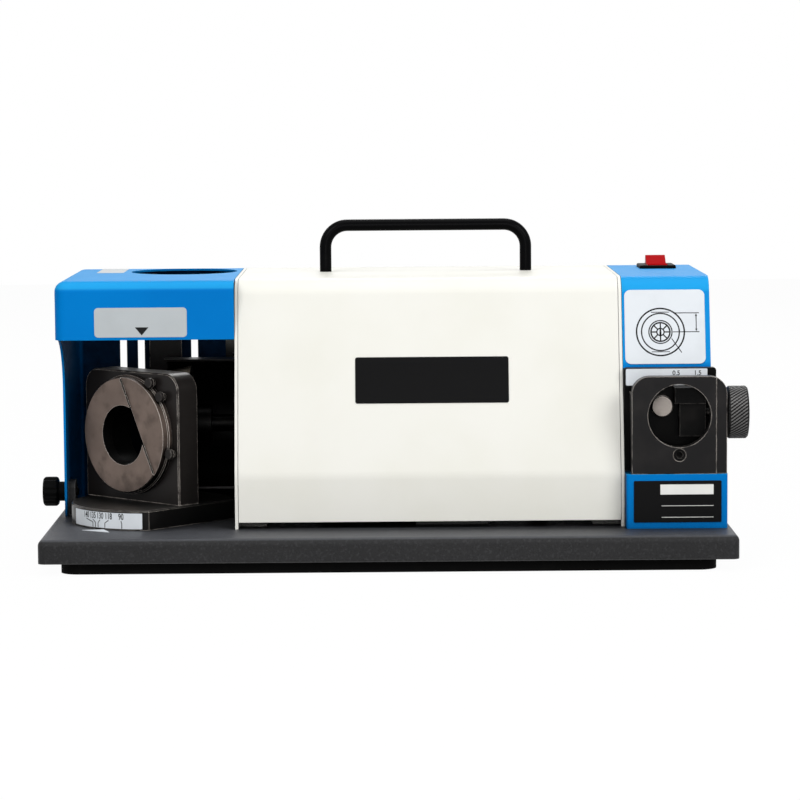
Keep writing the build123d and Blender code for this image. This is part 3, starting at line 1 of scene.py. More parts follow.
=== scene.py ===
# %% [markdown]
# # Dressing a bench drill bit grinder
# The grinder's solids are already modelled, in metres and in place, so nothing here moves or resizes them.
# What they lack is a camera, light and finishes, and the fine things that are too thin or too small for a
# solid model: ink on the labels, knurling on a knob, flutes on a thumb screw, recesses in screw heads.
# The first cell loads the solids and keeps their box, and the last cell prints how far the dressed model grew
# beyond it.

# %% Load the solids
import json
import math

import bmesh
import bpy
from mathutils import Matrix, Vector


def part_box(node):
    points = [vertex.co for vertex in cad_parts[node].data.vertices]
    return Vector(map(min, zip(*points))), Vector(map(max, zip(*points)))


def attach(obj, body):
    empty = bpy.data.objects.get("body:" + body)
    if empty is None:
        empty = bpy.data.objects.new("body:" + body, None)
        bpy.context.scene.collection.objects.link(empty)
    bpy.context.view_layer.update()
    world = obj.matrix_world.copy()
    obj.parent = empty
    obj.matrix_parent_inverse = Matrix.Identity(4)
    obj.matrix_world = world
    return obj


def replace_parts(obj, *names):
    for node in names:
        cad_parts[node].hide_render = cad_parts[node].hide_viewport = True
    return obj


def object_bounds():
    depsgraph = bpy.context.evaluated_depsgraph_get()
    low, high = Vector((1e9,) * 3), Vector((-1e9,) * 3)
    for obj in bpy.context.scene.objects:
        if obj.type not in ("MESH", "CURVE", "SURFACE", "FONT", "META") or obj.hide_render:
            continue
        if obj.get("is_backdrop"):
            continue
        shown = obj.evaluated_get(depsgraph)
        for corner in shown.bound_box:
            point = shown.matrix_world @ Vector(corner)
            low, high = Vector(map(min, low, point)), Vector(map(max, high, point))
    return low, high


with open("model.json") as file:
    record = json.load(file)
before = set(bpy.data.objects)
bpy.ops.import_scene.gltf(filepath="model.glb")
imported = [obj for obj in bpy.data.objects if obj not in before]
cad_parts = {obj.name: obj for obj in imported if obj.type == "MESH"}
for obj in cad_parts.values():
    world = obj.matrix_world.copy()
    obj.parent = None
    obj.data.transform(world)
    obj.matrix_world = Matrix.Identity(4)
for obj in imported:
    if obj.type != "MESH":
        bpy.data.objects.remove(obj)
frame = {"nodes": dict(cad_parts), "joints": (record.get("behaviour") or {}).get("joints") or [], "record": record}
nodes = frame["nodes"]
record = frame["record"]
MM = 0.001
cad_box = [list(corner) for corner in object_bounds()]
scene = bpy.context.scene
scene.view_settings.view_transform = "Standard"
print("nodes:", len(nodes), "box:", [round(side, 4) for corner in cad_box for side in corner])

# %% [markdown]
# ## Camera
# The photograph was taken from two metres in front with a long lens, a little above the machine, so the
# box's sides hardly converge. A camera can be aimed with a Track To constraint, but three turns written out,
# for yaw, pitch and roll, keep the exact tilt that lines up the base's corners.

# %% Camera
LENS = 138.6
SENSOR = 36.0
EYE = Vector((3.108, -2066.746, 304.341)) * MM
YAW = math.radians(0.1417)
PITCH = math.radians(5.6382)
ROLL = math.radians(-0.4326)

lens = bpy.data.cameras.new("camera")
lens.lens = LENS
lens.sensor_width = SENSOR
camera = bpy.data.objects.new("camera", lens)
scene.collection.objects.link(camera)
sideways = Matrix.Rotation(-YAW, 4, "Z")
downwards = Matrix.Rotation(math.pi / 2 - PITCH, 4, "X")
leaning = Matrix.Rotation(ROLL, 4, "Z")
camera.matrix_world = Matrix.Translation(EYE) @ (sideways @ downwards @ leaning)
scene.camera = camera
print("camera stands", round(EYE.length, 3), "m from the origin")

# %% [markdown]
# ## Node graphs as Python
# A finish is a graph of shader nodes. Adding each node by hand buries the idea under node names, so one small
# class wraps an output socket and turns Python arithmetic into Math nodes: `1 - mask` or `0.3 + 0.1 * grain`.
# A second class holds the graph and adds any other node through one method, settings first, then sockets.


# %% Wires and graphs
class Wire:
    """An output socket whose arithmetic adds Math nodes to its graph."""

    def __init__(self, graph, socket):
        self.graph = graph
        self.socket = socket

    def math(self, operation, *values):
        """Math node on the values."""
        return self.graph.add("ShaderNodeMath", {"operation": operation}, dict(enumerate(values)))

    def __add__(self, other):
        return self.math("ADD", self, other)

    def __radd__(self, other):
        return self.math("ADD", other, self)

    def __sub__(self, other):
        return self.math("SUBTRACT", self, other)

    def __rsub__(self, other):
        return self.math("SUBTRACT", other, self)

    def __mul__(self, other):
        return self.math("MULTIPLY", self, other)

    def __rmul__(self, other):
        return self.math("MULTIPLY", other, self)

    def ramp(self, low, high):
        """Nothing below low, all above high, smooth between."""
        limits = {"From Min": low, "From Max": high, "Value": self}
        return self.graph.add("ShaderNodeMapRange", {"interpolation_type": "SMOOTHSTEP"}, limits)


class Graph:
    """One node tree, with one method that adds any node."""

    def __init__(self, owner):
        owner.use_nodes = True
        self.tree = owner.node_tree
        self.tree.nodes.clear()

    def pick(self, sockets, key):
        """The socket with a name or a number, among those in use."""
        shown = [socket for socket in sockets if socket.enabled]
        if isinstance(key, int):
            return shown[key]
        return next(socket for socket in shown if socket.name == key)

    def add(self, kind, settings=None, sockets=None, outlet=0):
        """New node with settings and with values or wires in its sockets. Returns the wire of one outlet."""
        node = self.tree.nodes.new(kind)
        for name, value in (settings or {}).items():
            setattr(node, name, value)
        for key, value in (sockets or {}).items():
            socket = self.pick(node.inputs, key)
            if isinstance(value, Wire):
                self.tree.links.new(value.socket, socket)
            else:
                socket.default_value = value
        return Wire(self, self.pick(node.outputs, outlet)) if node.outputs else None

    def mix(self, first, second, share):
        """Colour between two colours."""
        sockets = {"Factor": share, "A": first, "B": second}
        return self.add("ShaderNodeMix", {"data_type": "RGBA"}, sockets, "Result")


def tone(red, green, blue):
    """Screen colour, 0 to 255, as the linear colour that a shader takes, by the usual screen curve."""
    linear = []
    for part in (red, green, blue):
        part = part / 255
        linear.append(part / 12.92 if part <= 0.04045 else ((part + 0.055) / 1.055) ** 2.4)
    return (*linear, 1.0)


print("a mid grey of 128 is", round(tone(128, 128, 128)[0], 3), "in linear light")

# %% [markdown]
# ## White studio
# The machine stands on white with hardly a shadow. Flooding it with light would bleach its paint, so the
# white is for the eye alone: the world shows full white to camera, mirror and glass rays and a softer grey to
# the rest, and the floor mixes a plain surface, which can take a shadow, with white that only those rays see.

# %% World and floor
WHITE = (1.0, 1.0, 1.0, 1.0)
SKY_LIGHT = 0.22
FLOOR_GREY = 0.4
FLOOR_SHARE = 0.97
FLOOR_SIZE = 6.0
FLOOR_DROP = 0.2 * MM
EYE_RAYS = ("Is Camera Ray", "Is Glossy Ray", "Is Transmission Ray")


def seen_directly(graph):
    """One for rays that come straight from the camera, a mirror or glass."""
    straight, mirrored, through = [graph.add("ShaderNodeLightPath", outlet=ray) for ray in EYE_RAYS]
    either = straight.math("MAXIMUM", straight, mirrored)
    return either.math("MAXIMUM", either, through)


world = bpy.data.worlds.new("studio")
scene.world = world
sky = Graph(world)
strength = SKY_LIGHT + (1.0 - SKY_LIGHT) * seen_directly(sky)
backdrop = sky.add("ShaderNodeBackground", {}, {"Color": WHITE, "Strength": strength})
sky.add("ShaderNodeOutputWorld", {}, {"Surface": backdrop})

paper = bpy.data.materials.new("floor_paper")
sheet = Graph(paper)
seen = seen_directly(sheet)
paper_tone = sheet.mix((FLOOR_GREY, FLOOR_GREY, FLOOR_GREY, 1.0), WHITE, seen)
matt = sheet.add("ShaderNodeBsdfDiffuse", {}, {"Color": paper_tone})
glow = sheet.add("ShaderNodeEmission", {}, {"Color": WHITE, "Strength": 1.0})
floor_skin = sheet.add("ShaderNodeMixShader", {}, {0: seen * FLOOR_SHARE, 1: matt, 2: glow})
sheet.add("ShaderNodeOutputMaterial", {}, {"Surface": floor_skin})

half = FLOOR_SIZE / 2
floor_mesh = bpy.data.meshes.new("floor")
corners = [(-half, -half, 0), (half, -half, 0), (half, half, 0), (-half, half, 0)]
floor_mesh.from_pydata(corners, [], [(0, 1, 2, 3)])
floor_mesh.materials.append(paper)
floor = bpy.data.objects.new("floor", floor_mesh)
floor.location.z = -FLOOR_DROP
scene.collection.objects.link(floor)
floor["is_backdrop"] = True
print("floor is", FLOOR_SIZE, "m wide")

# %% [markdown]
# Five large soft lamps give the machine its form: one on each side in front, one low in front that lights the
# housing's upright skirt, one above that brightens the tops, and one behind for anyone who walks round it.
# Large lamps give the wide, soft highlights that show on the paint, and point lamps would leave hard dots.


# %% Lamps
def softbox(name, place, target, size, watts):
    """Square lamp at a place, turned to a target."""
    light = bpy.data.lights.new(name, "AREA")
    light.shape = "SQUARE"
    light.size = size
    light.energy = watts
    lamp = bpy.data.objects.new(name, light)
    lamp.location = place
    lamp.rotation_euler = (Vector(target) - Vector(place)).to_track_quat("-Z", "Y").to_euler()
    scene.collection.objects.link(lamp)
    return lamp


MIDDLE = (0.0, 0.0, 0.1)
lamps = [
    softbox("lamp_left", (-1.2, -1.6, 1.35), MIDDLE, size=1.0, watts=18.0),
    softbox("lamp_right", (1.4, -1.5, 1.25), MIDDLE, size=1.0, watts=21.0),
    softbox("lamp_front", (0.2, -2.3, 0.45), MIDDLE, size=0.9, watts=9.0),
    softbox("lamp_top", (0.0, -0.1, 1.9), MIDDLE, size=1.4, watts=13.0),
    softbox("lamp_back", (0.1, 1.8, 1.3), MIDDLE, size=0.8, watts=9.0),
]
print("lamps:", [lamp.name for lamp in lamps])

# %% [markdown]
# ## What every finish shares
# Each finish reads the place of a point in the machine's own metres, so grain has a true size and runs on
# from one piece to the next. The Bevel node rounds each edge in the shading without touching the mesh. The
# other helpers are masks, which go from nothing to one: edges, by how far that rounded normal leaves the flat
# one, for wear and painted highlights, shelter, from the Ambient Occlusion node, for painted shade in hollows,
# and the tilt of a face, its distance from a point and whether it looks there, for dust and painted light on
# tops and painted shade near the wheel.


# %% Finish
class Finish(Graph):
    """A material under construction. Its sizes and distances are in millimetres."""

    def __init__(self, name):
        self.material = bpy.data.materials.new(name)
        super().__init__(self.material)
        self.place = self.add("ShaderNodeTexCoord", outlet="Object")

    def noise(self, size, detail=2.0, stretch=(1.0, 1.0, 1.0)):
        """Soft noise with blotches about a size wide, longer along an axis that is stretched."""
        scale = [1.0 / (size * MM * factor) for factor in stretch]
        spot = self.add("ShaderNodeVectorMath", {"operation": "MULTIPLY"}, {0: self.place, 1: scale})
        return self.add("ShaderNodeTexNoise", {}, {"Vector": spot, "Scale": 1.0, "Detail": detail})

    def rounded(self, radius):
        """Normal with edges rounded to a radius."""
        return self.add("ShaderNodeBevel", {"samples": 6}, {"Radius": radius * MM})

    def edges(self, radius, low=0.02, high=0.12):
        """One along edges, nothing on flat ground."""
        flat = self.add("ShaderNodeNewGeometry", outlet="Normal")
        pair = {0: self.rounded(radius), 1: flat}
        turned = self.add("ShaderNodeVectorMath", {"operation": "DOT_PRODUCT"}, pair, "Value")
        return (1.0 - turned).ramp(low, high)

    def radius(self, point, axis):
        """Distance from an axis through a point."""
        offset = self.add("ShaderNodeVectorMath", {"operation": "SUBTRACT"}, {0: self.place, 1: point})
        moment = self.add("ShaderNodeVectorMath", {"operation": "CROSS_PRODUCT"}, {0: offset, 1: axis})
        return self.add("ShaderNodeVectorMath", {"operation": "LENGTH"}, {0: moment}, "Value") * (1.0 / MM)

    def sheltered(self, reach=90.0, low=0.3, high=0.66):
        """One in corners and hollows that are shut in within a reach, nothing in the open."""
        open_sky = self.add("ShaderNodeAmbientOcclusion", {"samples": 8}, {"Distance": reach * MM}, "AO")
        return (1.0 - open_sky).ramp(low, high)

    def tilt(self, axis="Z"):
        """How far a face looks along an axis: along Z, one on tops and nothing on uprights."""
        normal = self.add("ShaderNodeNewGeometry", outlet="Normal")
        return self.add("ShaderNodeSeparateXYZ", {}, {0: normal}, axis)

    def close_to(self, point, near, far):
        """One within a distance of a point, nothing beyond another."""
        gap = self.add("ShaderNodeVectorMath", {"operation": "DISTANCE"}, {0: self.place, 1: point}, "Value")
        return 1.0 - gap.ramp(near * MM, far * MM)

    def looks_at(self, point):
        """One where a face looks towards a point, nothing where it looks away."""
        normal = self.add("ShaderNodeNewGeometry", outlet="Normal")
        way = self.add("ShaderNodeVectorMath", {"operation": "SUBTRACT"}, {0: point, 1: self.place})
        ahead = self.add("ShaderNodeVectorMath", {"operation": "DOT_PRODUCT"}, {0: normal, 1: way}, "Value")
        return ahead.ramp(0.0, MM)

    def close(self, colour, rough, height, depth, rounding=0.4, metallic=0.0, specular=0.5):
        """Joins the parts to a Principled shader, with a bump of a depth, and returns the material."""
        bump = {"Height": height, "Distance": depth * MM, "Strength": 1.0, "Normal": self.rounded(rounding)}
        sockets = {
            "Base Color": colour,
            "Roughness": rough,
            "Normal": self.add("ShaderNodeBump", {}, bump),
            "Metallic": metallic,
            "Specular IOR Level": specular,
        }
        shader = self.add("ShaderNodeBsdfPrincipled", {}, sockets)
        self.add("ShaderNodeOutputMaterial", {}, {"Surface": shader})
        return self.material


finishes = {}

# %% [markdown]
# ## Sprayed enamel
# The hood, the column and the box in front of it are blue, the housing is a warm white. Sprayed paint is
# never perfectly flat: it has a fine orange peel and its depth of colour drifts over a panel. Edges get a
# paler colour as a painted highlight. Round the wheel, on the hood's inside and the wall beside it, and in
# hollows, painted shade turns it nearly black, less so on walls that look to the right. One function makes
# both colours, so they look sprayed in the same shop. Folds and tops of the blue get the paler colour as a
# painted sheen, found by how far a face looks up.


# %% Enamel
def enamel(name, colour, deep, painted_sheen, painted_shade, hollow_shade, gloss, wheel_shade_reach, sheen_share=0.0):
    """Sprayed paint, deeper in patches, paler at edges and, by a share, on folds and tops as a painted highlight,
    with painted shade in hollows and in two distances from behind the wheel on faces that look at it."""
    made = Finish(name)
    drift = made.noise(70.0, 3.0)
    peel = made.noise(1.3, 1.0)
    dust = made.noise(9.0, 4.0)
    coat = made.mix(colour, deep, drift.ramp(0.35, 0.75))
    # Painted highlight: edges get the paler colour.
    coat = made.mix(coat, painted_sheen, made.edges(0.7) * (0.25 + 0.5 * dust))
    # Painted sheen: folds and tops of the blue get the paler colour, by how far a face looks up.
    if sheen_share:
        tilt = made.tilt()
        coat = made.mix(coat, painted_sheen, tilt.ramp(0.1, 0.4) * (1.0 - 0.2 * tilt.ramp(0.75, 0.98)) * sheen_share)
    # Painted shade: faces near the point behind the wheel that look at it turn nearly black.
    wheel_shade_mask = made.close_to(behind_wheel, *wheel_shade_reach) * made.looks_at(behind_wheel)
    coat = made.mix(coat, painted_shade, wheel_shade_mask * (0.96 + 0.04 * dust))
    # Painted shade in hollows, weaker on walls that look to the right.
    side_wall = made.tilt("X").ramp(0.5, 0.9)
    coat = made.mix(coat, painted_shade, made.sheltered(*hollow_shade) * (0.85 + 0.15 * dust - 0.3 * side_wall))
    rough = 0.34 + 0.1 * dust + 0.05 * drift
    return made.close(coat, rough, peel, 0.012, 0.6, specular=gloss)


# A point behind the wheel, round which painted shade darkens the paint.
SHADE_BEFORE_BACK = 35.0 * MM
SHADE_BELOW_WHEEL = 20.0 * MM
wheel_low, wheel_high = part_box("abrasive_band")
wheel_middle = (wheel_low + wheel_high) / 2
hood_low, hood_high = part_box("hood")
shade_y = hood_high.y - SHADE_BEFORE_BACK
behind_wheel = Vector((wheel_middle.x, shade_y, wheel_middle.z - SHADE_BELOW_WHEEL))
finishes["blue_paint"] = enamel(
    "blue_enamel",
    colour=tone(0, 126, 208),
    deep=tone(0, 119, 201),
    painted_sheen=tone(50, 184, 242),
    painted_shade=tone(2, 5, 14),
    hollow_shade=(180.0, 0.36, 0.66),
    gloss=0.03,
    wheel_shade_reach=(45.0, 100.0),
    sheen_share=0.5,
)
finishes["white_paint"] = enamel(
    "white_enamel",
    colour=tone(240, 239, 232),
    deep=tone(236, 235, 226),
    painted_sheen=tone(250, 250, 247),
    painted_shade=tone(14, 14, 15),
    hollow_shade=(90.0, 0.55, 0.9),
    gloss=0.08,
    wheel_shade_reach=(75.0, 112.0),
)
print("enamels:", sorted(finishes))

# %% [markdown]
# ## Dark crinkle coat and rubber
# The base is a casting under a thick dark grey coat with a fine crinkle, which a bump of two noises gives: a
# close grain and a coarser wander. Pale specks, a film of dust with painted light on the top and a painted
# highlight on the edges break up the grey, and painted shade darkens the top at the foot of the housing. The
# rails under it are plain black rubber, dull and slightly dusty.


# %% Casting coat and rubber
def crinkle_coat():
    """Thick textured coat on the base casting."""
    made = Finish("crinkle_coat")
    grain = made.noise(0.9, 2.0)
    wander = made.noise(5.0, 3.0)
    patches = made.noise(45.0, 3.0)
    coat = made.mix(tone(34, 34, 35), tone(43, 43, 44), patches)
    coat = made.mix(coat, tone(24, 24, 24), grain.ramp(0.5, 0.75) * 0.7)
    coat = made.mix(coat, tone(70, 70, 72), made.noise(1.7, 1.0).ramp(0.5, 0.8) * 0.3)
    top = made.tilt().ramp(0.6, 0.95)
    # Dust on the tops, lightened further as painted light from above.
    coat = made.mix(coat, tone(118, 121, 128), top * (0.15 + 0.28 * wander))
    # Painted shade: the top darkens at the foot of the housing.
    coat = made.mix(coat, tone(8, 8, 8), top * made.sheltered(90.0, 0.2, 0.45) * 0.85)
    # Painted highlight along the edges.
    coat = made.mix(coat, tone(104, 104, 104), made.edges(1.4) * (0.2 + 0.6 * wander))
    return made.close(coat, 0.38 + 0.14 * wander, grain + 0.5 * wander, 0.2, 0.8, specular=0.13)


def rubber():
    """Dull moulded rubber with a little dust."""
    made = Finish("rail_rubber")
    dust = made.noise(12.0, 4.0)
    grain = made.noise(0.8, 2.0)
    body = made.mix(tone(4, 4, 4), tone(14, 14, 13), dust.ramp(0.5, 0.85))
    return made.close(body, 0.74 + 0.12 * grain, grain, 0.05, 0.5, specular=0.06)


finishes["base_paint"] = crinkle_coat()
finishes["rubber"] = rubber()
print("coats:", finishes["base_paint"].name, finishes["rubber"].name)

# %% [markdown]
# ## Blackened steel
# The seat, the swivel table, the gauge and the guard are milled steel with a black oxide skin. The skin is
# thin: on every corner it rubs off and bare steel shows as a bright line, broken where it was touched less, and
# the line is made brighter as a painted highlight. The edge mask times a coarse noise gives that line, and a
# noise stretched along X gives the mill's faint grain. Dust and painted light grey the tops. Hollows, the
# seat's bore and the pieces next to the wheel are darkened to black as painted shade. The screws of the covers
# get the same treatment in a paler tone.


# %% Blackened steel
def blackened(name, dark, worn_and_highlit, wear_and_highlight, rough, metal, gloss=0.12, shade=0.8, painted_shade=None, bore=0.0):
    """Black oxide on milled steel, rubbed and with a painted highlight at edges, dusty and lighter as painted
    light on tops and with painted shade in hollows, and with painted shade in two distances from the wheel's front
    and within a bore's radius of the chuck's axis, where they are given."""
    made = Finish(name)
    grain = made.noise(0.35, 2.0, (18.0, 1.0, 1.0))
    cloud = made.noise(22.0, 4.0)
    rub = made.noise(6.0, 3.0)
    # Rubbed edges: bare steel from wear, made bright as a painted highlight.
    bare_and_highlit = made.edges(1.0, 0.012, 0.1) * rub.ramp(0.28, 0.56) * wear_and_highlight
    # Dust on the tops, lightened further as painted light from above.
    dust = made.tilt().ramp(0.6, 0.95) * (0.16 + 0.34 * rub)
    skin = made.mix(dark, tone(44, 41, 40), cloud.ramp(0.45, 0.9) * 0.5)
    skin = made.mix(skin, tone(96, 93, 90), dust)
    # Painted shade in hollows, deepest in the deepest ones.
    skin = made.mix(skin, tone(5, 5, 5), made.sheltered(60.0) * shade)
    skin = made.mix(skin, tone(3, 3, 3), made.sheltered(60.0, 0.74, 0.9))
    skin = made.mix(skin, worn_and_highlit, bare_and_highlit)
    # Painted shade near the wheel's front.
    if painted_shade:
        skin = made.mix(skin, tone(6, 6, 6), made.close_to(wheel_front, *painted_shade) * 0.92)
    # Painted shade within the bore's radius of the chuck's axis.
    if bore:
        from_axis = made.radius(seat_mount["pos_m"], seat_mount["axis"])
        skin = made.mix(skin, tone(3, 3, 3), 1.0 - from_axis.ramp(bore - 0.5, bore))
    rough = rough + 0.1 * grain + 0.08 * cloud - 0.1 * bare_and_highlit
    return made.close(skin, rough, grain, 0.006, 0.5, metallic=metal, specular=gloss)


wheel_front = Vector((wheel_middle.x, wheel_low.y, wheel_middle.z))
seat_mount = next(mount for mount in record["mounts"] if mount["name"] == "chuck_seat")
BORE_MARGIN = 3.0
shaded_bore = seat_mount["dims"]["r_mm"] + BORE_MARGIN
OXIDE = tone(32, 29, 28)
# A darker copy of the oxide, as painted shade for the table and the wheel's guard.
SHADED_OXIDE = tone(15, 14, 14)
GAUGE_OXIDE = tone(17, 16, 17)
# A still darker copy, as painted shade for pieces inside the gauge.
DEEP_SHADED_OXIDE = tone(7, 7, 7)
ZINC = tone(74, 74, 77)
RUBBED_AND_HIGHLIT = tone(205, 197, 188)
RUBBED_AND_HIGHLIT_IN_SHADE = tone(120, 116, 112)
RUBBED_AND_HIGHLIT_ZINC = tone(170, 170, 172)
steels = {
    "black_steel": blackened("black_oxide", OXIDE, RUBBED_AND_HIGHLIT, 1.0, 0.22, 0.15, shade=0.4, bore=shaded_bore),
    "sooty_steel": blackened("sooty_oxide", SHADED_OXIDE, RUBBED_AND_HIGHLIT, 0.6, 0.22, 0.15, painted_shade=(66.0, 96.0)),
    "gauge_steel": blackened("gauge_oxide", GAUGE_OXIDE, RUBBED_AND_HIGHLIT, 0.6, 0.24, 0.12),
    "deep_steel": blackened("deep_oxide", DEEP_SHADED_OXIDE, RUBBED_AND_HIGHLIT_IN_SHADE, 0.35, 0.3, 0.05, gloss=0.04),
    "fasteners": blackened("dark_zinc", ZINC, RUBBED_AND_HIGHLIT_ZINC, 0.7, 0.34, 0.85),
}
finishes.update(steels)
print("dark steels:", list(steels))

# %% [markdown]
# ## Turned steel
# The ring that guides the chuck is a brown-grey steel faced on a lathe, so its marks run round its own axis.
# The record states that axis, and the shader measures each point's distance from it: noise over that one
# number makes rings. Painted shade darkens hollows and the walls of the ring's bore, and edges get a painted
# highlight. Shafts, pins and the wheel's disc are brighter and get the same treatment about the motor's axis,
# and shafts near the wheel are darkened to black as painted shade.


# %% Turned steel
def turned_steel(name, dark, light, turning, rough, metal, inside=0.0, painted_shade=None):
    """Steel with marks round the axis of a mount or joint, a painted highlight on edges and painted shade in
    hollows, on walls inside a radius and in two distances from the wheel, where they are given."""
    made = Finish(name)
    axis = turning["axis"]
    radius = made.radius(turning["pos_m"], axis)
    row = made.add("ShaderNodeCombineXYZ", {}, {"X": radius})
    marks = made.add("ShaderNodeTexNoise", {}, {"Vector": row, "Scale": 3.2, "Detail": 3.0})
    cloud = made.noise(15.0, 4.0)
    stain = made.noise(11.0, 4.0)
    skin = made.mix(dark, light, 0.55 * cloud + 0.45 * marks)
    skin = made.mix(skin, tone(58, 48, 42), stain.ramp(0.45, 0.75) * 0.55)
    # Painted shade in hollows.
    skin = made.mix(skin, tone(4, 4, 4), made.sheltered(70.0))
    # Painted highlight on edges.
    skin = made.mix(skin, tone(222, 214, 206), made.edges(0.6, 0.03, 0.16) * 0.8)
    # Painted shade on walls inside the ring's rim.
    if inside:
        flat = made.add("ShaderNodeNewGeometry", outlet="Normal")
        along = made.add("ShaderNodeVectorMath", {"operation": "DOT_PRODUCT"}, {0: flat, 1: axis}, "Value")
        wall = 1.0 - along.math("ABSOLUTE", along).ramp(0.3, 0.7)
        skin = made.mix(skin, tone(8, 7, 6), wall * (1.0 - radius.ramp(inside - 0.6, inside - 0.3)))
    # Painted shade near the wheel.
    if painted_shade:
        skin = made.mix(skin, tone(5, 5, 5), made.close_to(wheel_middle, *painted_shade) * 0.94)
    return made.close(skin, rough + 0.14 * marks + 0.08 * cloud, marks, 0.01, 0.4, metallic=metal)


def joint_named(name):
    """A joint of the machine, with its place and axis."""
    return next(joint for joint in frame["joints"] if joint["name"] == name)


RING_RIM = 2.0
ring_low, ring_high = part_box("cam_ring")
ring_inside = (ring_high.z - ring_low.z) / 2 / MM - RING_RIM
RING_TONES = (tone(62, 52, 47), tone(140, 123, 113))
SHAFT_TONES = (tone(98, 92, 87), tone(150, 143, 137))
DISC_TONES = (tone(120, 121, 123), tone(165, 166, 168))
spin = joint_named("spindle_spin")
finishes["ring_steel"] = turned_steel("ring_steel", *RING_TONES, seat_mount, 0.36, 0.75, inside=ring_inside)
finishes["bright_steel"] = turned_steel("bright_steel", *SHAFT_TONES, spin, 0.28, 0.9, painted_shade=(70.0, 110.0))
finishes["wheel_core"] = turned_steel("wheel_disc", *DISC_TONES, spin, 0.34, 0.9)
print("chuck axis:", seat_mount["axis"])

# %% [markdown]
# The gauge's knob is black too, with a rolled rim. Fingers polish the tips of the rolling and dirt fills its
# grooves, and the tips also get a painted highlight and the grooves painted shade, so the distance from the
# knob's axis alone tells the two apart.

# %% Knob steel
POLISH_AND_HIGHLIGHT_DEPTHS = (0.26, 0.04)
DIRT_AND_SHADE_DEPTHS = (0.66, 0.5)


def knurled_steel(turning, rim):
    """Blackened steel with polished tips that carry a painted highlight and dark grooves that carry dirt and
    painted shade, by the depth below the rim's radius.
    """
    made = Finish("knob_steel")
    radius = made.radius(turning["pos_m"], turning["axis"])
    cloud = made.noise(9.0, 3.0)
    # Polished tips with a painted highlight, and grooves with dirt and painted shade.
    polished_highlit_tips = radius.ramp(*[rim - depth for depth in POLISH_AND_HIGHLIGHT_DEPTHS])
    dirty_shaded_groove = radius.ramp(*[rim - depth for depth in DIRT_AND_SHADE_DEPTHS]) * (1.0 - polished_highlit_tips)
    skin = made.mix(tone(28, 27, 28), tone(42, 41, 41), cloud)
    skin = made.mix(skin, tone(4, 4, 4), dirty_shaded_groove)
    skin = made.mix(skin, tone(108, 107, 106), polished_highlit_tips * (0.5 + 0.5 * cloud))
    return made.close(skin, 0.34 + 0.12 * cloud, cloud, 0.01, 0.2, metallic=0.5, specular=0.2)


knob_low, knob_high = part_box("gauge_knob")
knob_radius = (knob_high.z - knob_low.z) / 2
finishes["knob"] = knurled_steel(joint_named("gauge_knob_turn"), knob_radius / MM)
print("knob rim:", round(knob_radius / MM, 2), "mm from its axis")

# %% [markdown]
# ## Plastics and handle enamel
# The handle is dipped in gloss black, the switch has a shiny red rocker in a black bezel, and the gland and
# the fan are moulded black. Moulded plastic has a fine spark-eroded texture, so all of them share one
# function and differ in tone, gloss and grain.


# %% Plastics
def moulded(name, colour, rough, grain_size, depth, edge=0.3, specular=0.35):
    """Moulded or dipped plastic with a fine texture of a depth and edges paler by a share."""
    made = Finish(name)
    grain = made.noise(grain_size, 2.0)
    wipe = made.noise(16.0, 4.0, (3.0, 1.0, 1.0))
    pale = tuple(min(1.0, part * 1.6 + 0.02) for part in colour[:3]) + (1.0,)
    body = made.mix(colour, pale, made.edges(0.5) * edge + wipe.ramp(0.55, 0.9) * 0.15)
    return made.close(body, rough + 0.1 * wipe, grain, depth, 0.5, specular=specular)


plastics = {
    "handle": moulded("handle_enamel", tone(5, 5, 6), 0.22, 1.6, 0.008, edge=0.05, specular=0.03),
    "rocker_red": moulded("rocker_red", tone(168, 0, 8), 0.24, 2.5, 0.006, edge=0.03, specular=0.05),
    "black_plastic": moulded("black_plastic", tone(5, 5, 5), 0.45, 0.5, 0.02, edge=0.08, specular=0.03),
    "capacitor": moulded("capacitor_case", tone(214, 214, 208), 0.34, 1.0, 0.01),
    "terminal": moulded("terminal_case", tone(22, 21, 20), 0.45, 0.6, 0.02),
    "wire": moulded("wire_sleeve", tone(24, 24, 24), 0.5, 0.7, 0.02),
}
finishes.update(plastics)
print("plastics:", list(plastics))

# %% [markdown]
# ## Printed film
# Labels are thin film with a faint texture and a sheen. They differ only in colour and gloss, and one ink is
# used for all the black print, another for the white.


# %% Film and ink
def film(name, colour, rough, gloss=0.15):
    """Label film with a faint cast and handling marks."""
    made = Finish(name)
    weave = made.noise(0.5, 1.0)
    marks = made.noise(18.0, 4.0)
    cast = tuple(part * 0.94 for part in colour[:3]) + (1.0,)
    body = made.mix(colour, cast, marks.ramp(0.4, 0.8))
    return made.close(body, rough + 0.12 * marks, weave, 0.004, 0.15, specular=gloss)


films = {
    "label_white": film("white_film", tone(226, 231, 236), 0.34),
    "label_grey": film("grey_film", tone(190, 196, 199), 0.34),
    "label_black": film("black_film", tone(9, 9, 10), 0.3, gloss=0.06),
    "black_ink": film("black_ink", tone(9, 9, 11), 0.42),
    "white_ink": film("white_ink", tone(240, 240, 236), 0.42),
}
finishes.update(films)
print("films:", list(films))

# %% [markdown]
# ## Inside the housing
# The motor hardly shows, but someone may open the model up. Its shell and caps are cast and drawn aluminium,
# the iron is a stack of thin sheets, which stripes along the shaft give, the coil ends are wound with
# lacquered copper wire, and the wheel carries a band of hard grit.

# %% Motor metals and grit
# Half the length of a diagonal wave of the Wave Texture at a scale of one
HALF_WAVE = 0.314
GRAIN_SIZE = 0.45


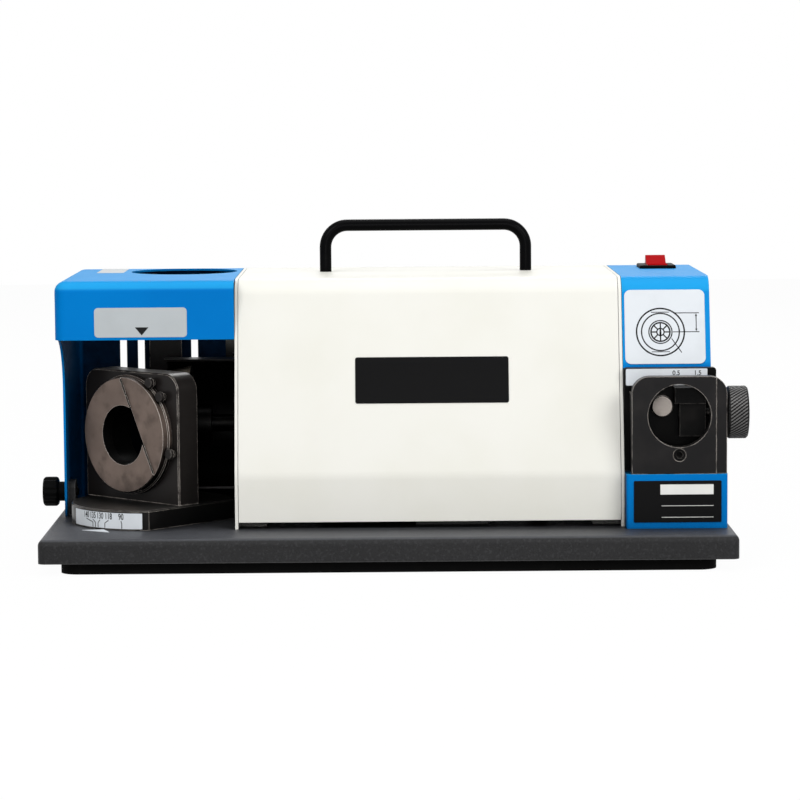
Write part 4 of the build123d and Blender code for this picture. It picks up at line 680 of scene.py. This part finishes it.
def cast_metal():
    """Dull cast and drawn aluminium."""
    made = Finish("cast_metal")
    sand = made.noise(1.2, 3.0)
    cloud = made.noise(25.0, 3.0)
    body = made.mix(tone(150, 152, 154), tone(178, 179, 180), cloud)
    body = made.mix(body, tone(220, 221, 222), made.edges(0.5) * 0.6)
    # Painted shade in hollows.
    body = made.mix(body, tone(14, 14, 14), made.sheltered())
    return made.close(body, 0.42 + 0.16 * sand, sand, 0.03, metallic=0.85)


def striped(name, first, second, line_width, stretch, metal, rough):
    """Two tones in turn, each a line wide, for stacked sheets and wound wire."""
    made = Finish(name)
    spot = made.add("ShaderNodeVectorMath", {"operation": "MULTIPLY"}, {0: made.place, 1: stretch})
    bands = {"Vector": spot, "Scale": HALF_WAVE / (line_width * MM), "Distortion": 0.6, "Detail": 1.0}
    kind = {"wave_type": "BANDS", "bands_direction": "DIAGONAL"}
    line = made.add("ShaderNodeTexWave", kind, bands, "Fac")
    body = made.mix(first, second, line)
    return made.close(body, rough + 0.15 * line, line, 0.05, metallic=metal)


def grit():
    """Hard grains bonded to the wheel's rim."""
    made = Finish("plated_grit")
    grains = {"Vector": made.place, "Scale": 1.0 / (GRAIN_SIZE * MM)}
    cell = made.add("ShaderNodeTexVoronoi", {"feature": "F1"}, grains, "Distance")
    cloud = made.noise(8.0, 3.0)
    body = made.mix(tone(150, 132, 98), tone(96, 84, 62), cell.ramp(0.1, 0.7))
    body = made.mix(body, tone(70, 66, 60), cloud.ramp(0.5, 0.8) * 0.6)
    # Painted shade in hollows.
    body = made.mix(body, tone(12, 11, 10), made.sheltered() * 0.85)
    return made.close(body, 0.62 + 0.2 * cell, cell, 0.18)


IRON_TONES = (tone(92, 92, 95), tone(140, 140, 143))
COPPER_TONES = (tone(120, 52, 24), tone(205, 110, 60))
finishes["motor_metal"] = cast_metal()
finishes["lamination"] = striped("stacked_sheets", *IRON_TONES, 0.6, (1.0, 0.0, 0.0), 0.8, 0.4)
finishes["winding"] = striped("copper_wire", *COPPER_TONES, 0.8, (0.3, 1.0, 1.0), 0.7, 0.3)
finishes["abrasive"] = grit()
print("finishes in all:", len(finishes))

# %% [markdown]
# ## Hand out the finishes
# The record says which finish each node takes, so a loop is enough. Eight nodes differ: the hood's label is
# of a greyer film than the other white ones, the ring's screws are as black as the seat, the table and the
# wheel's guard take a darker copy of the oxide as painted shade, the gauge's body has a darker oxide than the
# seat, and three pieces inside the gauge take a still darker copy as painted shade.

# %% Assign
slots = {item["node"]: item["material_slot"] for item in record["subparts"]}


def paint(piece, *kinds):
    """Gives an object its finishes, replacing what it had."""
    piece.data.materials.clear()
    for kind in kinds:
        piece.data.materials.append(finishes[kind])


own_finish = {
    "hood_label": "label_grey",
    "ring_screws": "black_steel",
    "swivel_table": "sooty_steel",
    "wheel_guard": "sooty_steel",
    "gauge_body": "gauge_steel",
    "gauge_back_plate": "deep_steel",
    "gauge_jaw": "deep_steel",
    "gauge_set_screw": "deep_steel",
}
for node, piece in nodes.items():
    paint(piece, own_finish.get(node, slots[node]))
missing = sorted(set(slots.values()) - set(finishes))
print("painted", len(nodes), "nodes, finishes missing:", missing)

# %% [markdown]
# ## Ink
# Print is a coat of ink a few hundredths of a millimetre thick. A texture could paint it, but only with an
# image, so each bar, line and ring is a thin closed prism laid on the label. The shapes are drawn flat, in
# millimetres from the label's top left corner, and a placing function carries them to the face, tilted or
# curved.


# %% Label faces
def facing(node):
    """Placing function for a flat label's front face."""
    mesh = nodes[node].data
    front = [face for face in mesh.polygons if face.normal.y < -0.5]
    out = max(front, key=lambda face: face.area).normal.normalized()
    right = Vector((1.0, 0.0, 0.0))
    up = out.cross(right)
    level = max(vertex.co.dot(out) for vertex in mesh.vertices)
    across = [vertex.co.dot(right) for vertex in mesh.vertices]
    along = [vertex.co.dot(up) for vertex in mesh.vertices]
    corner = right * min(across) + up * max(along) + out * level

    def place(across_mm, down_mm, lift_mm):
        return corner + (right * across_mm - up * down_mm + out * lift_mm) * MM

    width = (max(across) - min(across)) / MM
    height = (max(along) - min(along)) / MM
    print(node, "face:", round(width, 1), "by", round(height, 1), "mm")
    return place


# %% New pieces
def make_piece(name, shape, body, slot, *kinds):
    """Object from a bmesh, painted and riding on a body. The slot argument is not used."""
    mesh = bpy.data.meshes.new(name)
    shape.to_mesh(mesh)
    shape.free()
    piece = bpy.data.objects.new(name, mesh)
    scene.collection.objects.link(piece)
    paint(piece, *kinds)
    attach(piece, body)
    return piece


# %% Ink shapes
class Print:
    """Ink shapes on one label, gathered in one mesh. Sizes are in millimetres."""

    INK = 0.04
    BOLD = 0.02
    FIGURE_SHARE = 0.72

    def __init__(self, place):
        self.place = place
        self.mesh = bmesh.new()

    def patch(self, points):
        """Filled outline."""
        low = [self.mesh.verts.new(self.place(x, y, 0.0)) for x, y in points]
        high = [self.mesh.verts.new(self.place(x, y, self.INK)) for x, y in points]
        self.mesh.faces.new(low)
        self.mesh.faces.new(high)
        for index in range(len(points)):
            after = (index + 1) % len(points)
            self.mesh.faces.new((low[index], low[after], high[after], high[index]))

    def line(self, start, end, width):
        """Straight stroke."""
        start = Vector(start)
        end = Vector(end)
        side = (end - start).normalized().orthogonal() * width / 2
        self.patch([start + side, start - side, end - side, end + side])

    def bar(self, left, top, right, bottom):
        """Upright rectangle."""
        self.patch([(left, top), (right, top), (right, bottom), (left, bottom)])

    def ring(self, centre, radius, width, steps=64):
        """Circle drawn with a stroke, as a closed band."""
        rows = []
        for reach, lift in ((-1, 0.0), (1, 0.0), (1, self.INK), (-1, self.INK)):
            row = []
            for step in range(steps):
                turn = 2 * math.pi * step / steps
                distance = radius + reach * width / 2
                spot = (centre[0] + distance * math.cos(turn), centre[1] + distance * math.sin(turn))
                row.append(self.mesh.verts.new(self.place(*spot, lift)))
            rows.append(row)
        for index, row in enumerate(rows):
            other = rows[(index + 1) % len(rows)]
            for step in range(steps):
                after = (step + 1) % steps
                self.mesh.faces.new((row[step], row[after], other[after], other[step]))

    def figures(self, text, centre, height, narrow=1.0):
        """Plain numbers, set with the built-in face and narrowed where they crowd. A figure takes up a share
        of the size in which the face is set."""
        curve = bpy.data.curves.new("figures", "FONT")
        curve.body = text
        curve.size = height / self.FIGURE_SHARE
        curve.align_x = "CENTER"
        curve.align_y = "CENTER"
        curve.extrude = self.INK / 2
        curve.offset = height * self.BOLD
        setter = bpy.data.objects.new("figures", curve)
        scene.collection.objects.link(setter)
        bpy.context.view_layer.update()
        flat = bpy.data.meshes.new_from_object(setter)
        first = len(self.mesh.verts)
        self.mesh.from_mesh(flat)
        self.mesh.verts.ensure_lookup_table()
        for vertex in self.mesh.verts[first:]:
            x, y, z = vertex.co
            vertex.co = self.place(centre[0] + x * narrow, centre[1] - y, self.INK / 2 + z)
        bpy.data.objects.remove(setter)
        bpy.data.curves.remove(curve)
        bpy.data.meshes.remove(flat)

    def finish(self, name, body, slot, kind):
        """Turns the gathered shapes into a piece that rides on a body."""
        bmesh.ops.remove_doubles(self.mesh, verts=self.mesh.verts, dist=1e-7)
        bmesh.ops.recalc_face_normals(self.mesh, faces=self.mesh.faces)
        return make_piece(name, self.mesh, body, slot, kind)


# %% [markdown]
# The hood's label has a down-pointing triangle, which shows where the drill goes in. The nameplate is plain
# black film. The plate on the front box has a white writing space and two ruled lines.

# %% Hood label
TRIANGLE_MIDDLE = 31.1
TRIANGLE_HALF = 4.5
TRIANGLE_TOP = 12.9
TRIANGLE_TIP = 18.2
arrow = Print(facing("hood_label"))
arrow.patch([
    (TRIANGLE_MIDDLE - TRIANGLE_HALF, TRIANGLE_TOP),
    (TRIANGLE_MIDDLE + TRIANGLE_HALF, TRIANGLE_TOP),
    (TRIANGLE_MIDDLE, TRIANGLE_TIP),
])
arrow.finish("hood_label_arrow", "frame", "label_black", "black_ink")

# %% Box plate
SPACE_LEFT = 17.1
SPACE_TOP = 2.4
SPACE_BOTTOM = 9.0
RULES_LEFT = 17.9
RULES_DOWN = (16.2, 23.7)
RULE_THICK = 0.35
PRINT_RIGHT = 51.7
ruled = Print(facing("box_plate"))
ruled.bar(SPACE_LEFT, SPACE_TOP, PRINT_RIGHT, SPACE_BOTTOM)
for down in RULES_DOWN:
    ruled.bar(RULES_LEFT, down, PRINT_RIGHT, down + RULE_THICK)
ruled.finish("box_plate_print", "frame", "label_white", "white_ink")

# %% [markdown]
# The diagram on the column shows a drill point seen end on in its chuck: outer rings with a flat above and
# below, a wheel of spokes round the drill's web, two extension lines with a double arrow for the set height,
# and a leader to the cutting lip.

# %% Diagram: the chuck and the drill
CENTRE = Vector((23.4, 28.2))
RINGS_AND_STROKES = ((15.7, 1.0), (12.4, 0.85), (7.6, 0.75), (6.2, 1.0), (2.4, 0.8))
SPOKES = 8
SPOKE_FROM = 2.6
SPOKE_TO = 6.0
SPOKE_STROKE = 0.85
WEB = ((-0.5, -2.6), (0.5, -2.6), (0.7, 2.6), (-0.7, 2.6))
diagram = Print(facing("diagram_label"))
for radius, stroke in RINGS_AND_STROKES:
    diagram.ring(CENTRE, radius, stroke)
for spoke in range(SPOKES):
    turn = 2 * math.pi * spoke / SPOKES
    ray = Vector((math.cos(turn), math.sin(turn)))
    diagram.line(CENTRE + ray * SPOKE_FROM, CENTRE + ray * SPOKE_TO, SPOKE_STROKE)
diagram.patch([CENTRE + Vector(corner) for corner in WEB])

# %% Diagram: the set height, the flats and the leader
THIN_STROKE = 0.55
SET_HEIGHT = 12.6
HIGH_LINE_START = 8.6
LOW_LINE_START = 8.2
LINES_END = 49.0
ARROW_X = 47.0
ARROW_GAP = 0.2
ARROW_HEAD = 1.9
ARROW_HALF = 0.7
SHAFT_GAP = 1.8
FLAT_OUT = 13.2
FLAT_HALF = 6.0
FLAT_STROKE = 0.5
LEADER_START = (30.7, 32.6)
LEADER_END = (37.2, 42.0)
lip_high = CENTRE.y - SET_HEIGHT
for down, start in ((lip_high, HIGH_LINE_START), (CENTRE.y, LOW_LINE_START)):
    diagram.line((CENTRE.x + start, down), (LINES_END, down), THIN_STROKE)
diagram.line((ARROW_X, lip_high + SHAFT_GAP), (ARROW_X, CENTRE.y - SHAFT_GAP), THIN_STROKE)
for tip, way in ((lip_high + ARROW_GAP, 1), (CENTRE.y - ARROW_GAP, -1)):
    neck = tip + ARROW_HEAD * way
    diagram.patch([(ARROW_X, tip), (ARROW_X - ARROW_HALF, neck), (ARROW_X + ARROW_HALF, neck)])
for side in (-1, 1):
    down = CENTRE.y + FLAT_OUT * side
    diagram.line((CENTRE.x - FLAT_HALF, down), (CENTRE.x + FLAT_HALF, down), FLAT_STROKE)
diagram.line(LEADER_START, LEADER_END, THIN_STROKE)
diagram_print = diagram.finish("diagram_print", "frame", "label_black", "black_ink")
print("diagram:", len(diagram_print.data.polygons), "faces")

# %% [markdown]
# Two scales carry plain numbers. The strip behind the gauge is flat. The other one bends round the swivel
# table, so its placing function turns a distance along the strip into an angle about the pivot, and its
# slanting lines go in short steps that follow the bend.

# %% Gauge scale
GAUGE_FIGURES = (("0.5", 33.0), ("1.5", 47.0))
GAUGE_FIGURE_DOWN = 2.9
GAUGE_FIGURE_HEIGHT = 3.0
GAUGE_TICKS = 9
FIRST_TICK = 31.0
TICK_STEP = 2.2
GAUGE_TICK_FOOT = 10.4
SHORT_TICK_TOP = 8.9
LONG_TICK_TOP = 8.0
LONG_EVERY = 4
GAUGE_TICK_STROKE = 0.22
strip = Print(facing("gauge_scale"))
for text, across in GAUGE_FIGURES:
    strip.figures(text, (across, GAUGE_FIGURE_DOWN), GAUGE_FIGURE_HEIGHT)
for tick in range(GAUGE_TICKS):
    across = FIRST_TICK + TICK_STEP * tick
    top = SHORT_TICK_TOP if tick % LONG_EVERY else LONG_TICK_TOP
    strip.line((across, GAUGE_TICK_FOOT), (across, top), GAUGE_TICK_STROKE)
strip.finish("gauge_scale_print", "frame", "label_black", "black_ink")

# %% The angle scale's bend
pivot_low, pivot_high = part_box("pivot_bolt")
pivot = (pivot_low + pivot_high) / 2
scale_points = [vertex.co for vertex in nodes["angle_scale"].data.vertices]
reach = max((point.xy - pivot.xy).length for point in scale_points) / MM
scale_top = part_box("angle_scale")[1].z / MM


def round_table(across_mm, down_mm, lift_mm):
    """Point on the curved scale, from a distance to the right of the table's front."""
    turn = across_mm / reach
    distance = (reach + lift_mm) * MM
    x = pivot.x + distance * math.sin(turn)
    y = pivot.y - distance * math.cos(turn)
    return Vector((x, y, (scale_top - down_mm) * MM))


def degrees_left(angle):
    """Place along the scale of an angle to the left of the table's front."""
    return -math.radians(angle) * reach


print("scale radius:", round(reach, 2), "mm")

# %% Angle scale
NUMBERS_AND_TICKS = (
    ("140", 49.0, 42.0),
    ("135", 42.0, 39.5),
    ("130", 35.2, 37.0),
    ("118", 28.0, 31.0),
    ("90", 18.2, 17.6),
)
NUMBER_DOWN = 2.6
NUMBER_HEIGHT = 4.1
NUMBER_NARROW = 0.66
LEADER_TOP = 5.1
LEADER_STEPS = 5
TICK_TOP = 7.0
TICK_FOOT = 10.2
TICK_STROKE = 0.5
scale = Print(round_table)
for text, number_at, tick_at in NUMBERS_AND_TICKS:
    number = degrees_left(number_at)
    tick = degrees_left(tick_at)
    scale.figures(text, (number, NUMBER_DOWN), NUMBER_HEIGHT, NUMBER_NARROW)
    start = Vector((number, LEADER_TOP))
    stride = (Vector((tick, TICK_TOP)) - start) / LEADER_STEPS
    for step in range(LEADER_STEPS):
        scale.line(start + stride * step, start + stride * (step + 1), TICK_STROKE)
    scale.line((tick, TICK_TOP), (tick, TICK_FOOT), TICK_STROKE)
scale.finish("angle_scale_print", "seat", "label_black", "black_ink")
print("angles on the scale:", [text for text, number_at, tick_at in NUMBERS_AND_TICKS])

# %% [markdown]
# A plain pale sticker lies on the hood's top, left of the round opening. It is a rounded sheet of film, thin
# enough to be a scene piece.

# %% Hood sticker
STICKER_LEFT = 19.3
STICKER_BACK = 6.7
STICKER_SIZE = (18.5, 50.0)
STICKER_CORNER = 2.0
STICKER_THICK = 0.12


def rounded_outline(width, depth, corner, steps=6):
    """Points round a rectangle with rounded corners, from its low left corner."""
    far_x = width - corner
    far_y = depth - corner
    points = []
    for quarter, (x, y) in enumerate(((far_x, far_y), (corner, far_y), (corner, corner), (far_x, corner))):
        for step in range(steps + 1):
            turn = math.pi / 2 * (quarter + step / steps)
            points.append((x + corner * math.cos(turn), y + corner * math.sin(turn)))
    return points


def on_hood_top(across, back, lift):
    """Point on the hood's top, from the sticker's near left corner."""
    near = hood_high.y - (STICKER_BACK + STICKER_SIZE[1]) * MM
    left = hood_low.x + STICKER_LEFT * MM
    return Vector((left + across * MM, near + back * MM, hood_high.z + lift * MM))


sticker = Print(on_hood_top)
sticker.INK = STICKER_THICK
sticker.patch(rounded_outline(*STICKER_SIZE, STICKER_CORNER))
sticker.finish("hood_sticker", "frame", "label_white", "label_grey")
print("sticker:", STICKER_SIZE[0], "by", STICKER_SIZE[1], "mm")

# %% [markdown]
# ## Knurled knob
# The gauge's knob is gripped by its rim, which is rolled with crossing grooves. A bump map would leave the
# outline smooth, so the rim is lathed point by point and each point sinks by two crossing waves. A helper
# spins any profile about X and takes a function for such relief.


# %% Lathe
def lathed(profile, around, relief):
    """Closed mesh from (place along X, radius) pairs in metres, spun about X. Relief sinks a point."""
    shape = bmesh.new()
    rings = []
    for along, radius in profile:
        ring = []
        for step in range(around):
            turn = 2 * math.pi * step / around
            sunk = radius - relief(turn, along, radius)
            ring.append(shape.verts.new((along, sunk * math.cos(turn), sunk * math.sin(turn))))
        rings.append(ring)
    for ring, other in zip(rings, rings[1:]):
        for step in range(around):
            after = (step + 1) % around
            shape.faces.new((ring[step], ring[after], other[after], other[step]))
    shape.faces.new(rings[0])
    shape.faces.new(rings[-1])
    bmesh.ops.recalc_face_normals(shape, faces=shape.faces)
    return shape


def settle(shape, low, high):
    """Moves a lathed mesh to the axis along X of a box."""
    place = Vector((0.0, (low.y + high.y) / 2, (low.z + high.z) / 2))
    bmesh.ops.translate(shape, verts=shape.verts, vec=place)
    return shape


def smooth(piece, angle=35.0):
    """Smooth shading that keeps sharp edges."""
    piece.data.shade_smooth()
    piece.data.set_sharp_from_angle(angle=math.radians(angle))
    return piece


# %% Grooves on the knob's rim
GROOVES = 46
GROOVE_DEPTH = 0.5 * MM
GROOVE_LEAD = 2 * math.pi / (3.1 * MM)
GROOVE_SHARES = (0.8, 0.2)
POINTS_A_GROOVE = 6
RIM_SLACK = 0.01 * MM


def knurl(turn, along, radius):
    """Crossing grooves on the rim, one way deeper than the other."""
    if radius < knob_radius - RIM_SLACK:
        return 0.0
    one = 0.5 + 0.5 * math.cos(GROOVES * turn + GROOVE_LEAD * along)
    two = 0.5 + 0.5 * math.cos(GROOVES * turn - GROOVE_LEAD * along)
    return GROOVE_DEPTH * (GROOVE_SHARES[0] * one ** 2 + GROOVE_SHARES[1] * two ** 2)


print("points round the rim:", POINTS_A_GROOVE * GROOVES)

# %% Gauge knob
COLLAR = 7.0 * MM
COLLAR_END = 0.9 * MM
COLLAR_CAP = 0.5
CHAMFER = 1.1 * MM
RIM_ROWS = 44
FACE_RECESS = 1.2 * MM
RECESS_RIM = 0.62
RECESS_FLOOR = 0.58
FACE_CAP = 0.1
rim_start = knob_low.x + COLLAR_END + CHAMFER
rim_end = knob_high.x - CHAMFER
rim = [(rim_start + (rim_end - rim_start) * row / RIM_ROWS, knob_radius) for row in range(RIM_ROWS + 1)]
knob_profile = [
    (knob_low.x, COLLAR * COLLAR_CAP),
    (knob_low.x, COLLAR),
    (knob_low.x + COLLAR_END, COLLAR),
    (knob_low.x + COLLAR_END, knob_radius - CHAMFER),
    *rim,
    (knob_high.x, knob_radius - CHAMFER),
    (knob_high.x, knob_radius * RECESS_RIM),
    (knob_high.x - FACE_RECESS, knob_radius * RECESS_FLOOR),
    (knob_high.x - FACE_RECESS, knob_radius * FACE_CAP),
]
knob_shape = settle(lathed(knob_profile, POINTS_A_GROOVE * GROOVES, knurl), knob_low, knob_high)
knob = make_piece("knurled_knob", knob_shape, "knob", "knob", "knob")
smooth(knob, 50.0)
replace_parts(knob, "gauge_knob")
print("knob:", len(knob.data.vertices), "points")

# %% [markdown]
# ## Thumb screw
# The screw in the hood's side has a black moulded head with rounded flutes and a steel stud. The head is
# lathed with a cosine round its rim that fades at both ends, and the stud is the same mesh with another
# finish.

# %% Flutes on the thumb screw's head
FLUTES = 14
FLUTE_DEPTH = 0.9 * MM
FLUTE_FADE = 4
FLUTE_CURVE = 1.5
POINTS_A_FLUTE = 8
NECK = 5.2 * MM
thumb_low, thumb_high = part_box("hood_thumb_screw")
head_radius = (thumb_high.z - thumb_low.z) / 2
hood_left = hood_low.x
head_end = hood_left - NECK


def flutes(turn, along, radius):
    """Hollows round the head's rim, shallower towards its ends."""
    if along > head_end:
        return 0.0
    middle = (thumb_low.x + head_end) / 2
    fade = 1.0 - (abs(along - middle) / (head_end - middle)) ** FLUTE_FADE
    return FLUTE_DEPTH * fade * (0.5 - 0.5 * math.cos(FLUTES * turn)) ** FLUTE_CURVE


print("thumb screw head:", round(2 * head_radius / MM, 1), "mm across")

# %% Hood thumb screw
NECK_RADIUS = 6.6 * MM
NECK_GAP = 0.3 * MM
STEEL_START = 0.25 * MM
STUD_RADIUS = 2.95 * MM
STUD_CHAMFER = 0.6 * MM
STUD_TIP = 0.75
HEAD_ROUND = 2.2 * MM
ROUND_STEPS = 6
DISH = 0.5 * MM
DISH_RIM = 0.56
DISH_FLOOR = 0.5
DISH_CAP = 0.15
thumb_profile = [
    (thumb_low.x + DISH, head_radius * DISH_CAP),
    (thumb_low.x + DISH, head_radius * DISH_FLOOR),
    (thumb_low.x, head_radius * DISH_RIM),
]
for end, way in ((thumb_low.x, 1), (head_end, -1)):
    corner = []
    for step in range(ROUND_STEPS + 1):
        turn = math.pi / 2 * step / ROUND_STEPS
        along = end + way * HEAD_ROUND * (1 - math.sin(turn))
        corner.append((along, head_radius - HEAD_ROUND * (1 - math.cos(turn))))
    thumb_profile += corner[::-1] if way == 1 else corner
thumb_profile += [
    (head_end, NECK_RADIUS),
    (hood_left - NECK_GAP, NECK_RADIUS),
    (hood_left - NECK_GAP, STUD_RADIUS),
    (thumb_high.x - STUD_CHAMFER, STUD_RADIUS),
    (thumb_high.x, STUD_RADIUS * STUD_TIP),
]
thumb_shape = settle(lathed(thumb_profile, POINTS_A_FLUTE * FLUTES, flutes), thumb_low, thumb_high)
for face in thumb_shape.faces:
    face.material_index = int(face.calc_center_median().x > hood_left - STEEL_START)
thumb_kinds = ("black_plastic", "bright_steel")
thumb = make_piece("fluted_thumb_screw", thumb_shape, "thumb_screw", "black_plastic", *thumb_kinds)
smooth(thumb, 40.0)
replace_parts(thumb, "hood_thumb_screw")
print("thumb screw:", len(thumb.data.vertices), "points")

# %% [markdown]
# ## Screw recesses
# The panel screws have cross recesses, which make them read as screws. Each solid in the node is one screw,
# so the mesh is welded and split into its loose parts to find every head, and a cutter is subtracted from a
# copy.


# %% Loose parts
def welded(node):
    """Mesh of a node with its split corners joined."""
    shape = bmesh.new()
    shape.from_mesh(nodes[node].data)
    bmesh.ops.remove_doubles(shape, verts=shape.verts, dist=1e-6)
    return shape


def loose_parts(shape):
    """Points of each separate solid."""
    seen = set()
    parts = []
    for first in shape.verts:
        if first in seen:
            continue
        seen.add(first)
        part = [first]
        for vertex in part:
            for link in vertex.link_edges:
                other = link.other_vert(vertex)
                if other not in seen:
                    seen.add(other)
                    part.append(other)
        parts.append([vertex.co.copy() for vertex in part])
    return parts


# %% Cutter and cut
def cross(shape, centre, axes, long, wide, deep):
    """Upright prism with the outline of a cross, its arms along the first two axes."""
    tip = long / 2
    side = wide / 2
    quarter = [(side, tip), (side, side), (tip, side)]
    outline = []
    for turn in range(4):
        for u, v in quarter:
            outline.append(((u, v), (v, -u), (-u, -v), (-v, u))[turn])
    rows = []
    for lift in (-deep / 2, deep / 2):
        row = []
        for u, v in outline:
            row.append(shape.verts.new(centre + axes[0] * u + axes[1] * v + axes[2] * lift))
        rows.append(row)
    for row in rows:
        shape.faces.new(row)
    for index in range(len(outline)):
        after = (index + 1) % len(outline)
        shape.faces.new((rows[0][index], rows[0][after], rows[1][after], rows[1][index]))


def cut_copy(node, name, cutter, slot):
    """Copy of a node with a cutter taken away, standing in for it."""
    mesh = bpy.data.meshes.new(name)
    solid = welded(node)
    solid.to_mesh(mesh)
    solid.free()
    tool_mesh = bpy.data.meshes.new("cutter")
    bmesh.ops.recalc_face_normals(cutter, faces=cutter.faces)
    cutter.to_mesh(tool_mesh)
    cutter.free()
    raw = bpy.data.objects.new("raw", mesh)
    tool = bpy.data.objects.new("cutter", tool_mesh)
    for item in (raw, tool):
        scene.collection.objects.link(item)
    step = raw.modifiers.new("recess", "BOOLEAN")
    step.operation = "DIFFERENCE"
    step.solver = "EXACT"
    step.object = tool
    bpy.context.view_layer.update()
    result = bmesh.new()
    result.from_object(raw, bpy.context.evaluated_depsgraph_get())
    for item in (raw, tool):
        bpy.data.objects.remove(item)
    body = next(carrier for carrier, members in record["behaviour"]["bodies"].items() if node in members)
    piece = make_piece(name, result, body, slot, slot)
    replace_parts(smooth(piece), node)
    return piece


# %% Cross recesses in the panel screws
CROSS_LONG = 4.4 * MM
CROSS_WIDE = 1.0 * MM
CROSS_DEEP = 3.0 * MM
BACK = Vector((0.0, 1.0, 0.0))
slanted = [Vector((1.0, 0.0, 1.0)).normalized(), Vector((-1.0, 0.0, 1.0)).normalized()]
cutter = bmesh.new()
solid = welded("panel_screws")
heads = loose_parts(solid)
solid.free()
for points in heads:
    lowest = Vector([min(point[axis] for point in points) for axis in range(3)])
    highest = Vector([max(point[axis] for point in points) for axis in range(3)])
    crown = (lowest + highest) / 2
    crown.y = highest.y
    cross(cutter, crown, (*slanted, BACK), CROSS_LONG, CROSS_WIDE, CROSS_DEEP)
panel = cut_copy("panel_screws", "cross_head_screws", cutter, "fasteners")
print("screws cut:", len(heads), "points:", len(panel.data.vertices))

# %% Finish
final_box = [list(corner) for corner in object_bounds()]
growth = [round((b - a) / MM, 2) for cad, new in zip(cad_box, final_box) for a, b in zip(cad, new)]
print("growth in mm:", growth)
